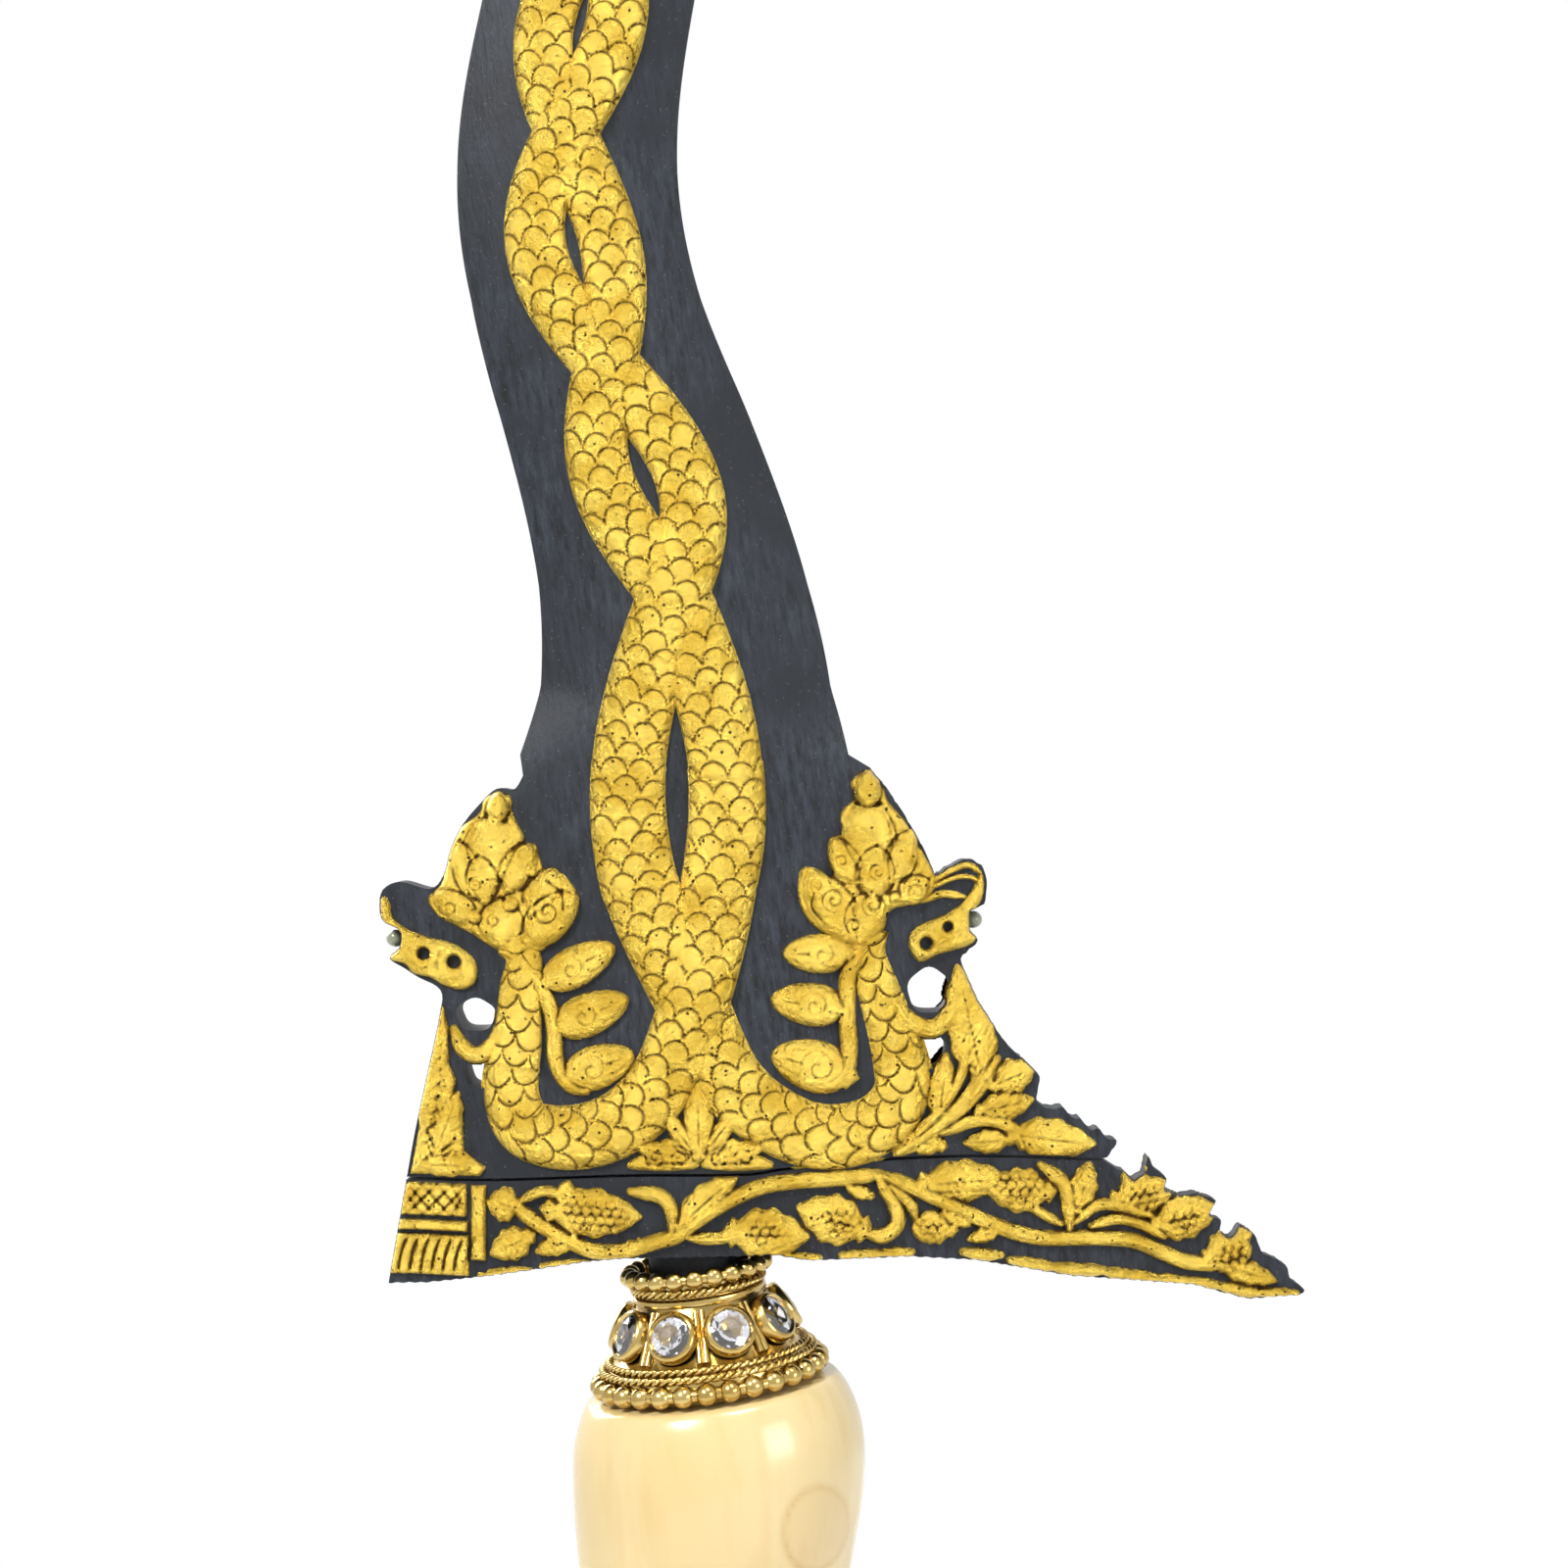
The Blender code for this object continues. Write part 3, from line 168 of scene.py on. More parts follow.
TUMPAL = ((-6.9, 9.1), (-4.4, 11.4), (-2.2, 13.0), (-1.4, 15.6), (0.1, 17.6), (1.7, 15.4), (2.6, 13.4), (4.8, 12.0), (7.8, 9.7), (3.0, 9.2))

# Stems: points, width. Leaves: root, tip, width.
LEFT_MANE_STEMS = (
    (((-19.6, 30.6), (-17.7, 29.5), (-16.1, 27.9), (-14.8, 25.1), (-14.3, 22.9), (-14.2, 20.2), (-13.5, 18.3), (-12.2, 17.1), (-11.1, 16.8)), 1.7),
)
LEFT_MANE_LEAVES = (
    ((-15.4, 27.4), (-8.3, 31.2), 4.1), ((-14.2, 23.0), (-6.9, 26.0), 4.3), ((-13.2, 18.0), (-6.3, 20.5), 4.4),
)
LEFT_CURL = (((-24.5, 22.7), (-23.6, 20.9), (-22.1, 20.2), (-20.4, 21.4), (-18.9, 24.5)), 1.7)
RIGHT_MANE_STEMS = (
    (((16.8, 30.8), (15.1, 28.4), (14.9, 24.4), (15.1, 21.5), (14.9, 19.1), (13.8, 17.6), (12.4, 17.2)), 1.8),
)
RIGHT_MANE_LEAVES = (
    ((15.2, 30.4), (8.5, 30.4), 4.0), ((14.6, 24.9), (7.3, 25.9), 4.3), ((15.2, 18.2), (7.4, 20.5), 5.2),
)
RIGHT_CURL = (((19.9, 25.4), (21.2, 23.6), (23.5, 22.8), (25.3, 24.1), (25.9, 26.0)), 1.9)
SNOUT_TRIMS = (
    (((23.2, 37.4), (25.6, 38.7), (27.2, 39.2), (28.4, 38.4)), 0.6), (((23.4, 36.9), (25.7, 37.9), (27.4, 38.0), (28.4, 37.4)), 0.5),
    (((22.6, 35.6), (24.4, 36.3), (26.8, 36.0)), 0.8),
)
FLANK_STEMS = (
    (((30.0, 19.6), (28.7, 17.6), (26.7, 15.2), (23.5, 12.6), (20.0, 10.5)), 2.0),
    (((27.0, 22.0), (26.6, 18.6), (24.6, 15.0), (21.6, 12.0)), 1.2),
    (((24.4, 12.3), (27.0, 13.3), (29.6, 13.5), (31.6, 12.6), (32.6, 10.8)), 1.5),
)
FLANK_LEAVES = (
    ((28.6, 17.4), (26.0, 29.3), 4.9), ((24.1, 13.4), (25.0, 20.4), 3.0), ((29.6, 17.0), (34.0, 18.9), 3.7),
    ((28.2, 14.4), (33.9, 15.6), 3.3), ((31.6, 12.1), (40.2, 11.0), 4.2), ((31.4, 11.6), (26.6, 11.2), 2.6),
    ((24.6, 11.0), (20.4, 12.0), 2.6),
)
FLANK_WEDGE = ((20.2, 10.5), (24.5, 10.5), (24.6, 12.6), (23.0, 12.8))
VINE_STEMS = (
    (((-18.4, 5.3), (-15.7, 3.5), (-13.0, 2.0), (-10.0, 0.95), (-7.0, 1.1), (-4.0, 2.0), (-1.9, 2.6), (0.46, 4.4), (3.5, 6.2), (6.5, 7.4), (9.5, 7.85), (12.5, 8.0), (15.7, 8.15), (18.4, 8.4)), 1.6),
    (((-17.6, 5.8), (-15.4, 6.8), (-13.2, 6.4)), 1.1),
    (((-6.6, 6.9), (-3.7, 6.5), (-2.5, 5.0), (-2.5, 3.2)), 1.5),
    (((-0.8, 2.4), (1.4, 2.3), (3.8, 2.5)), 1.3),
    (((18.4, 8.3), (22.1, 6.7), (25.3, 5.1), (28.5, 3.5), (31.7, 2.25), (34.9, 1.6), (39.6, 1.6), (43.8, 1.3), (47.0, 0.0), (49.5, -0.95), (53.4, -1.2)), 1.6),
    (((17.9, 8.2), (19.6, 5.6), (20.0, 3.5), (18.6, 2.25), (16.7, 2.6)), 1.6),
    (((19.2, 7.35), (21.2, 5.4), (21.8, 3.8)), 1.3),
    (((34.5, 8.9), (36.8, 7.0), (37.4, 4.2), (37.4, 2.6)), 1.6),
    (((38.0, 3.2), (40.0, 4.8), (42.5, 4.8), (45.7, 3.8)), 1.3),
    (((39.6, 2.8), (42.2, 3.5), (44.8, 2.9), (47.0, 1.6)), 1.2),
    (((33.0, 5.2), (34.8, 4.0), (36.6, 3.0)), 1.1),
)
VINE_LEAVES = (
    ((-17.8, 5.2), (-21.2, 5.6), 3.6), ((-16.6, 2.4), (-20.8, 0.3), 3.4), ((-12.2, 2.3), (-16.2, 0.7), 2.4),
    ((-13.4, 5.4), (-12.8, 8.0), 2.2), ((-14.8, 5.0), (-5.4, 4.4), 5.0), ((-1.9, 3.4), (4.2, 8.9), 3.4),
    ((3.4, 2.9), (11.3, 2.4), 5.2), ((16.6, 2.9), (9.8, 5.4), 5.0), ((17.4, 6.2), (14.6, 7.4), 1.6),
    ((22.4, 7.2), (31.4, 7.6), 4.4), ((35.4, 6.4), (28.8, 6.4), 4.6), ((38.2, 4.4), (39.5, 9.4), 3.0),
    ((42.0, 5.2), (48.2, 6.6), 4.2), ((46.0, 2.8), (52.6, 4.6), 4.6), ((51.4, -0.6), (56.0, 2.2), 3.6),
    ((42.9, 6.4), (45.2, 9.6), 2.2), ((25.6, 2.6), (21.4, 3.2), 3.4), ((52.8, -1.3), (58.6, -3.0), 2.6),
    ((-5.6, 2.0), (-8.2, 0.2), 1.6), ((30.4, 2.6), (27.0, 1.4), 1.8), ((24.6, 4.4), (27.6, 2.8), 1.6),
)
# Clusters of berries: middle, half length, half height, lean in degrees.
BERRIES = (
    (-9.8, 4.7, 3.6, 1.9, -4), (14.2, 3.7, 1.9, 1.7, -10), (23.4, 2.95, 1.8, 1.5, 0), (32.4, 6.7, 2.4, 1.7, 0),
    (45.0, 5.8, 1.9, 1.5, 10), (49.0, 3.3, 1.9, 1.5, 10), (54.0, 0.0, 1.8, 1.5, 20), (6.6, 3.0, 1.7, 1.3, 0),
)
# Lumps of gold along the ganja's lower edge: from, to.
EDGE_LUMPS = (
    ((-28.8, -2.5), (-26.0, -2.5)), ((-24.6, -2.2), (-21.2, -1.9)), ((-20.7, -1.5), (-16.7, -1.2)),
    ((-15.4, -0.7), (-10.9, -0.3)), ((8.7, 0.3), (12.1, 0.2)), ((14.4, 0.4), (18.4, 0.5)), ((18.6, 0.6), (21.4, 0.5)),
    ((26.6, 0.3), (30.5, -0.1)), ((31.4, -0.6), (36.0, -1.3)), ((35.6, -1.3), (41.2, -1.7)), ((40.8, -1.8), (46.3, -2.5)),
    ((46.0, -2.5), (52.7, -3.3)), ((52.5, -3.3), (57.0, -4.1)), ((56.6, -4.0), (60.4, -4.2)),
)
TILE_BOXES = (((-29.9, 4.0), (-22.9, 7.3)), ((-30.5, 2.5), (-23.0, 3.6)), ((-31.0, -1.9), (-22.9, 2.2)), ((-22.7, -0.3), (-21.2, 7.2)))

SUNK = -0.25  # how far a gilded sheet dips under the iron past its outline
FINE, COARSE = 0.11, 0.2


class KrisSizes(bpy.types.PropertyGroup):
    scale_pitch: bpy.props.FloatProperty(
        name="Scale pitch", description="Distance between rows of serpent scales, in millimetres", default=1.9, min=0.5, max=4.0)
    relief_height: bpy.props.FloatProperty(
        name="Relief height", description="Height of the serpents' backs over the iron, in millimetres", default=1.25, min=0.2, max=3.0)
    beads_above: bpy.props.IntProperty(name="Upper beads", description="Beads round the ferrule's top", default=22, min=8)
    beads_below: bpy.props.IntProperty(name="Lower beads", description="Beads round the ferrule's foot", default=30, min=8)


class KrisColours(bpy.types.PropertyGroup):
    iron: bpy.props.FloatVectorProperty(
        name="Iron", description="Blackened iron", subtype="COLOR", size=4, default=(0.003, 0.004, 0.006, 1.0))
    gold: bpy.props.FloatVectorProperty(
        name="Gold leaf", description="Beaten gold leaf", subtype="COLOR", size=4, default=(0.72, 0.535, 0.10, 1.0))
    # Painted shade: the gold leaf is darkened to this colour in its grooves and hollows, standing in for shade.
    shadow: bpy.props.FloatVectorProperty(
        name="Grooves", description="Dirt and wear in the grooves", subtype="COLOR", size=4, default=(0.10, 0.05, 0.010, 1.0))
    ferrule: bpy.props.FloatVectorProperty(
        name="Ferrule", description="Polished ferrule metal", subtype="COLOR", size=4, default=(0.54, 0.405, 0.155, 1.0))
    hilt: bpy.props.FloatVectorProperty(
        name="Hilt", description="Cream tooth of the hilt", subtype="COLOR", size=4, default=(0.58, 0.435, 0.19, 1.0))


# ---- Shape of the blade -----------------------------------------------------
def mix(a, b, share):
    return a + (b - a) * share


def ease(value):
    value = np.clip(value, 0.0, 1.0)
    return value * value * (3 - 2 * value)


def table(rows, x):
    keys, values = zip(*rows)
    return np.interp(x, keys, values)


def share_up(v):
    return (v - SHOULDER) / (BLADE_TIP - SHOULDER)


def wave(v):
    share = share_up(v)
    below = WAVE_SIZE * np.sin(np.pi * (FIRST_WAVE - np.maximum(share, -0.05)) / 0.167)
    left = np.maximum(1 - (share - FIRST_WAVE) * (1 - WAVE_SHRINK) / WAVE_LENGTH, 0.05)
    above = -WAVE_SIZE * np.sin(np.pi * np.log(left) / math.log(WAVE_SHRINK)) * mix(1.0, 0.6, share)
    return np.where(share < FIRST_WAVE, below, above)


def blade_middle(v):
    return TANG_CROSSING[0] + AXIS_DRIFT * (v - TANG_CROSSING[1]) + wave(v)


def blade_half_width(v):
    return table(BLADE_WIDTHS, share_up(v))


def half_thickness(u, v):
    u, v = np.broadcast_arrays(np.asarray(u, float), np.asarray(v, float))
    above = ease((v - SHOULDER + 6.0) / 14.0)
    edge = mix(HEAD_HALF, EDGE_HALF, above)
    past = mix(edge, np.minimum(edge, GANJA_TIP_HALF), np.minimum(1.0, (u - RIDGE_REACH) / RIDGE_REACH))
    edge = np.where(u > RIDGE_REACH, past, edge)
    low = mix(CENTRE_HALF, 3.7, ease(v / SHOULDER))
    high = mix(3.7, TIP_HALF, np.maximum(0.0, share_up(v)) ** 1.2)
    ridge = np.where(v > SHOULDER, high, low)
    middle = mix(TANG_CROSSING[0], blade_middle(v), above)
    across = (u - middle) / mix(RIDGE_REACH, np.maximum(blade_half_width(v), 1.0), above)
    return edge + np.maximum(ridge - edge, 0.0) * np.maximum(0.0, 1 - across * across)


def face_matrix():
    turn = Matrix.Rotation(LEAN, 4, "Y")
    crossing = Vector((TANG_CROSSING[0], 0.0, TANG_CROSSING[1]))
    return Matrix.Translation(Vector((0.0, 0.0, GRIP_TO_GANJA)) - turn @ crossing) @ turn


FACE = face_matrix()


def to_world(points):
    """Face-frame millimetres to row-frame metres."""
    matrix = np.array(FACE)
    return (np.asarray(points) @ matrix[:3, :3].T + matrix[:3, 3]) * MM


# ---- Mesh helpers -----------------------------------------------------------
def new_object(name, points, faces, material, depth=None, smooth=True):
    """An object from points in metres and faces as lists or as one array of quads."""
    mesh = bpy.data.meshes.new(name)
    if isinstance(faces, np.ndarray):
        sides = faces.shape[1]
        mesh.vertices.add(len(points))
        mesh.vertices.foreach_set("co", np.asarray(points, np.float32).ravel())
        mesh.loops.add(faces.size)
        mesh.loops.foreach_set("vertex_index", faces.astype(np.int32).ravel())
        mesh.polygons.add(len(faces))
        mesh.polygons.foreach_set("loop_start", np.arange(0, faces.size, sides, dtype=np.int32))
        mesh.update(calc_edges=True)
    else:
        mesh.from_pydata([tuple(point) for point in points], [], faces)
    # The groove attribute is a colour mask per point: painted shade in the gold leaf's hollows, the nerve mark on the
    # hilt.
    if depth is not None:
        attribute = mesh.attributes.new("groove", "FLOAT", "POINT")
        attribute.data.foreach_set("value", np.asarray(depth, np.float32).ravel())
    if smooth:
        mesh.shade_smooth()
    mesh.materials.append(material)
    made = bpy.data.objects.new(name, mesh)
    bpy.context.scene.collection.objects.link(made)
    return made


def place(piece, body, slot, *nodes):
    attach(piece, body)
    if nodes:
        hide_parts(*nodes)
    return piece


def grid_faces(rows, columns, keep=None, flip=False):
    index = np.arange(rows * columns).reshape(rows, columns)
    quads = np.stack([index[:-1, :-1], index[:-1, 1:], index[1:, 1:], index[1:, :-1]], axis=-1).reshape(-1, 4)
    if keep is not None:
        quads = quads[keep.ravel()[quads].any(axis=1)]
    return quads[:, ::-1] if flip else quads


def compact(points, faces, depth):
    used, inverse = np.unique(faces, return_inverse=True)
    return points[used], inverse.reshape(faces.shape), depth[used]


def smooth_path(points, spacing):
    """Points at an even spacing along a Catmull-Rom curve through the given ones."""
    points = np.array(points, float)
    ends = np.vstack([points[:1], points, points[-1:]])
    t = np.linspace(0, 1, 24, endpoint=False)[:, None]
    found = []
    for a, b, c, d in zip(ends, ends[1:], ends[2:], ends[3:]):
        found.append(0.5 * (2 * b + (c - a) * t + (2 * a - 5 * b + 4 * c - d) * t**2 + (3 * b - a - 3 * c + d) * t**3))
    dense = np.vstack(found + [points[-1:]])
    lengths = np.concatenate([[0], np.cumsum(np.linalg.norm(np.diff(dense, axis=0), axis=1))])
    wanted = np.linspace(0, lengths[-1], max(2, int(lengths[-1] / spacing) + 1))
    return np.stack([np.interp(wanted, lengths, dense[:, axis]) for axis in range(points.shape[1])], axis=1)


def smooth_outline(points, spacing=0.5):
    """A closed outline rounded through its points."""
    whole = list(points[-2:]) + list(points) + list(points[:2])
    dense = smooth_path(whole, spacing)
    start = np.argmin(np.linalg.norm(dense - np.array(points[0]), axis=1)[: len(dense) // 2])
    rest = np.linalg.norm(dense - np.array(points[0]), axis=1)
    rest[: len(dense) // 2] = 1e9
    return dense[start: np.argmin(rest)]


# ---- Carved relief ----------------------------------------------------------
class Relief:
    """Heights over the iron on a grid of the face, carved shape by shape."""

    def __init__(self, low, high, step):
        self.u, self.v = np.meshgrid(np.arange(low[0], high[0], step), np.arange(low[1], high[1], step))
        self.step = step
        self.height = np.full(self.u.shape, SUNK)

    def window(self, points, margin):
        points = np.atleast_2d(points)
        low, high = points.min(0) - margin, points.max(0) + margin
        column = np.clip(((np.array([low[0], high[0]]) - self.u[0, 0]) / self.step).astype(int) + (0, 2), 0, self.u.shape[1])
        row = np.clip(((np.array([low[1], high[1]]) - self.v[0, 0]) / self.step).astype(int) + (0, 2), 0, self.u.shape[0])
        return slice(*row), slice(*column)

    def rise(self, where, inside, height, edge):
        """Raises a rounded mound where the distance inside its outline is positive."""
        share = np.clip(inside / edge, 0.0, 1.0)
        level = np.where(inside < 0, np.maximum(inside * 2, SUNK), height * np.sqrt(1 - (1 - share) ** 2))
        self.height[where] = np.maximum(self.height[where], level)

    def engrave(self, where, distance, width, depth):
        self.height[where] -= depth * np.exp(-((distance / width) ** 2)) * (self.height[where] > 0.02)

    def outline_distance(self, outline, where):
        u, v = self.u[where], self.v[where]
        nearest = np.full(u.shape, 1e9)
        inside = np.zeros(u.shape, bool)
        for (u0, v0), (u1, v1) in zip(outline, np.roll(outline, -1, axis=0)):
            du, dv = u1 - u0, v1 - v0
            t = np.clip(((u - u0) * du + (v - v0) * dv) / max(du * du + dv * dv, 1e-9), 0, 1)
            nearest = np.minimum(nearest, (u - u0 - t * du) ** 2 + (v - v0 - t * dv) ** 2)
            crosses = ((v0 > v) != (v1 > v)) & (u < (v - v0) / (dv if abs(dv) > 1e-9 else 1e-9) * du + u0)
            inside ^= crosses
        return np.where(inside, 1, -1) * np.sqrt(nearest)

    def path_distance(self, path, where):
        u, v = self.u[where], self.v[where]
        nearest = np.full(u.shape, 1e9)
        along = np.zeros(u.shape)
        length = 0.0
        for (u0, v0), (u1, v1) in zip(path, path[1:]):
            du, dv = u1 - u0, v1 - v0
            size = max(math.hypot(du, dv), 1e-9)
            t = np.clip(((u - u0) * du + (v - v0) * dv) / size**2, 0, 1)
            gap = (u - u0 - t * du) ** 2 + (v - v0 - t * dv) ** 2
            closer = gap < nearest
            nearest = np.where(closer, gap, nearest)
            along = np.where(closer, length + t * size, along)
            length += size
        return np.sqrt(nearest), along, length

    def mound(self, outline, height, edge, rounded=True):
        outline = smooth_outline(outline) if rounded else np.array(outline, float)
        where = self.window(outline, 0.6)
        self.rise(where, self.outline_distance(outline, where), height, edge)

    def stem(self, points, width, height, lines=1):
        path = smooth_path(points, 0.5)
        where = self.window(path, width)
        distance, along, length = self.path_distance(path, where)
        taper = 0.55 + 0.45 * np.clip(np.minimum(along, length - along) / width, 0, 1)
        self.rise(where, width / 2 * taper - distance, height, width * 0.5)
        if lines:
            self.engrave(where, np.abs(distance - width * 0.2), 0.09, 0.1)

    def groove(self, points, width=0.12, depth=0.18):
        path = smooth_path(points, 0.4)
        where = self.window(path, 0.6)
        self.engrave(where, self.path_distance(path, where)[0], width, depth)

    def leaf(self, root, tip, width, height, veins=True, toothed=True):
        root, tip = np.array(root, float), np.array(tip, float)
        length = np.linalg.norm(tip - root)
        ahead = (tip - root) / length
        where = self.window([root, tip], width)
        du, dv = self.u[where] - root[0], self.v[where] - root[1]
        along = (du * ahead[0] + dv * ahead[1]) / length
        side = du * -ahead[1] + dv * ahead[0]
        inner = np.clip(along, 0.0, 1.0)
        half = width / 2 * np.sin(np.pi * inner**0.8) ** (0.75 if toothed else 0.5)
        half = np.maximum(half, 0.28 * width * (1 - inner) ** 2) * (1 + 0.06 * toothed * np.cos(inner * 24))
        past = np.maximum(np.maximum(-along, along - 1), 0) * length
        self.rise(where, (half - np.abs(side)) * 0.85 - past * 1.2, height, width * 0.3)
        if veins:
            self.engrave(where, side + (along < 0.05) * 9, 0.12, 0.16)
            slant = (along * length - np.abs(side) * 1.1) / 0.85
            self.engrave(where, (slant - np.round(slant)) * 0.85 + (np.abs(side) < 0.2) * 9, 0.09, 0.11)

    def edge_groove(self, root, tip, width):
        """A groove round a swelling, where it meets the gold beneath."""
        root, tip = np.array(root, float), np.array(tip, float)
        ahead = (tip - root) / np.linalg.norm(tip - root)
        side = np.array([-ahead[1], ahead[0]])
        length = np.linalg.norm(tip - root)
        shares = np.linspace(0.08, 1.0, 9)
        bulge = np.sin(np.pi * shares**0.8) ** 0.5 * width * 0.52
        for sign in (-1, 1):
            self.groove(root + np.outer(shares * length, ahead) + sign * np.outer(bulge, side), 0.14, 0.22)

    def curl(self, middle, radius, turns=1.6, depth=0.22, spin=1):
        where = self.window([middle], radius)
        du, dv = self.u[where] - middle[0], self.v[where] - middle[1]
        reach = np.hypot(du, dv)
        phase = reach / radius * turns - spin * np.arctan2(dv, du) / (2 * np.pi)
        distance = (phase - np.round(phase)) * radius / turns + (reach > radius) * 9
        self.engrave(where, distance, 0.12, depth)

    def lump(self, middle, radius, height):
        where = self.window([middle], radius)
        reach = np.hypot(self.u[where] - middle[0], self.v[where] - middle[1])
        self.rise(where, radius - reach, height, radius)

    def berries(self, u, v, half_length, half_height, lean):
        lean = math.radians(lean)
        size, base = 0.78, 0.75
        turns = np.linspace(0, 2 * np.pi, 28, endpoint=False)
        across, up = (half_length + 0.2) * np.cos(turns), (half_height + 0.2) * np.sin(turns)
        ring = np.stack([u + across * math.cos(lean) - up * math.sin(lean), v + across * math.sin(lean) + up * math.cos(lean)], 1)
        self.mound(ring, base, 0.7, rounded=False)
        row = 0
        y = -half_height + size * 0.6
        while y <= half_height - size * 0.4:
            x = -half_length + (0.5 * size if row % 2 else 0.0) + 0.5
            while x <= half_length - 0.3:
                if (x / half_length) ** 2 + (y / half_height) ** 2 < 0.95:
                    spot = (u + x * math.cos(lean) - y * math.sin(lean), v + x * math.sin(lean) + y * math.cos(lean))
                    self.lump(spot, size * 0.62, base + 0.38)
                    where = self.window([spot], size)
                    reach = np.hypot(self.u[where] - spot[0], self.v[where] - spot[1])
                    self.engrave(where, reach - size * 0.6, 0.1, 0.12)
                x += size * 1.25
            y += size * 1.05
            row += 1

    def trim(self, outline):
        """Brings the gold down to the iron at the iron's own outline."""
        whole = (slice(None), slice(None))
        low, high = np.array([self.u.min(), self.v.min()]) - 3, np.array([self.u.max(), self.v.max()]) + 3
        near = np.clip(outline, low, high)
        distance = self.outline_distance(near, whole)
        self.height = np.where(distance > 0.05, np.minimum(self.height, distance * 4), SUNK)
        return self

    def build(self, name, front, material):
        ripple = 0.03 * np.sin(self.u * 2.3 + 1.7 * np.sin(self.v * 1.9)) * np.sin(self.v * 2.7 + 1.3 * np.sin(self.u * 2.1))
        height = self.height + ripple * (self.height > 0.1)
        soft = height.copy()
        for axis in (0, 1):
            soft = (np.roll(soft, 1, axis) + np.roll(soft, -1, axis) + 2 * soft) / 4
        wide = soft.copy()
        for _ in range(3):
            for axis in (0, 1):
                wide = (np.roll(wide, 2, axis) + np.roll(wide, -2, axis) + wide) / 3
        # Painted-shade mask: how far each point sits below its blurred surroundings, so the gold darkens in hollows and
        # grooves.
        depth = np.clip((wide - soft) * 9, 0, 1)
        out = half_thickness(self.u, self.v) + np.where(height > -0.1, (height + soft) / 2, height)
        points = np.stack([self.u, front * out, self.v], axis=-1).reshape(-1, 3)
        faces = grid_faces(*self.u.shape, keep=self.height > SUNK + 0.01, flip=front > 0)
        points, faces, depth = compact(points, faces, depth.ravel())
        return new_object(name, to_world(points), faces, material, depth)


# ---- Serpents ---------------------------------------------------------------
def crossing_heights():
    heights = list(CROSSINGS)
    step = heights[-1] - heights[-2]
    while heights[-1] < BLADE_TIP:
        step *= CROSSING_SHRINK
        heights.append(heights[-1] + max(step, 6.0))
    return heights


def serpent_path(side, lower, spacing):
    heights = crossing_heights()
    v = np.linspace(heights[0], mix(SHOULDER, BLADE_TIP, SERPENT_TAIL), 900)
    count = np.interp(v, heights, np.arange(len(heights)))
    middle = np.where(v < heights[1], table(SERPENT_MIDDLE, v), blade_middle(v))
    swing = np.where(count < 1, FIRST_LOOP, LOOP_SHARE * blade_half_width(v))
    upper = np.stack([middle + side * swing * np.sin(np.pi * count), v], axis=1)
    whole = np.vstack([smooth_path(lower, 0.3)[:-1], upper[4:]])
    lengths = np.concatenate([[0], np.cumsum(np.linalg.norm(np.diff(whole, axis=0), axis=1))])
    wanted = np.arange(0, lengths[-1], spacing)
    path = np.stack([np.interp(wanted, lengths, whole[:, axis]) for axis in (0, 1)], axis=1)
    for _ in range(12):
        path[1:-1] = (path[:-2] + path[2:] + 2 * path[1:-1]) / 4
    return path, wanted


def scale_relief(along, across, half, pitch):
    """Height and groove of overlapping scales whose round edges point along the body."""
    height = np.zeros(along.shape)
    groove = np.zeros(along.shape)
    taken = np.zeros(along.shape, bool)
    width = pitch * 1.48
    radius = width * 0.54
    first = np.floor(along / pitch)
    side = across * half
    for back in (-1, 0, 1):
        row = first + back
        offset = np.where(row % 2 == 0, 0.0, width / 2)
        column = np.round((side - offset) / width)
        jitter = np.sin(row * 5.1 + column * 3.7)
        centre_s = (row + 0.13 * jitter) * pitch
        centre_t = column * width + offset + 0.12 * np.sin(row * 2.3 + column * 7.1)
        reach = np.hypot((along - centre_s) * 0.78, side - centre_t)
        inside = radius - reach
        hit = (inside > 0) & ~taken
        dome = 0.2 * (1 - (reach / radius) ** 2) + 0.14 * (along - centre_s) / radius
        height = np.where(hit, dome, height)
        # The groove also serves as the painted-shade mask for the gold's colour.
        groove = np.where(hit, np.exp(-(((inside - 0.07) / 0.12) ** 2)) * np.clip((along - centre_s) / (0.3 * radius), 0, 1), groove)
        taken |= hit
    return height - 0.3 * groove, groove


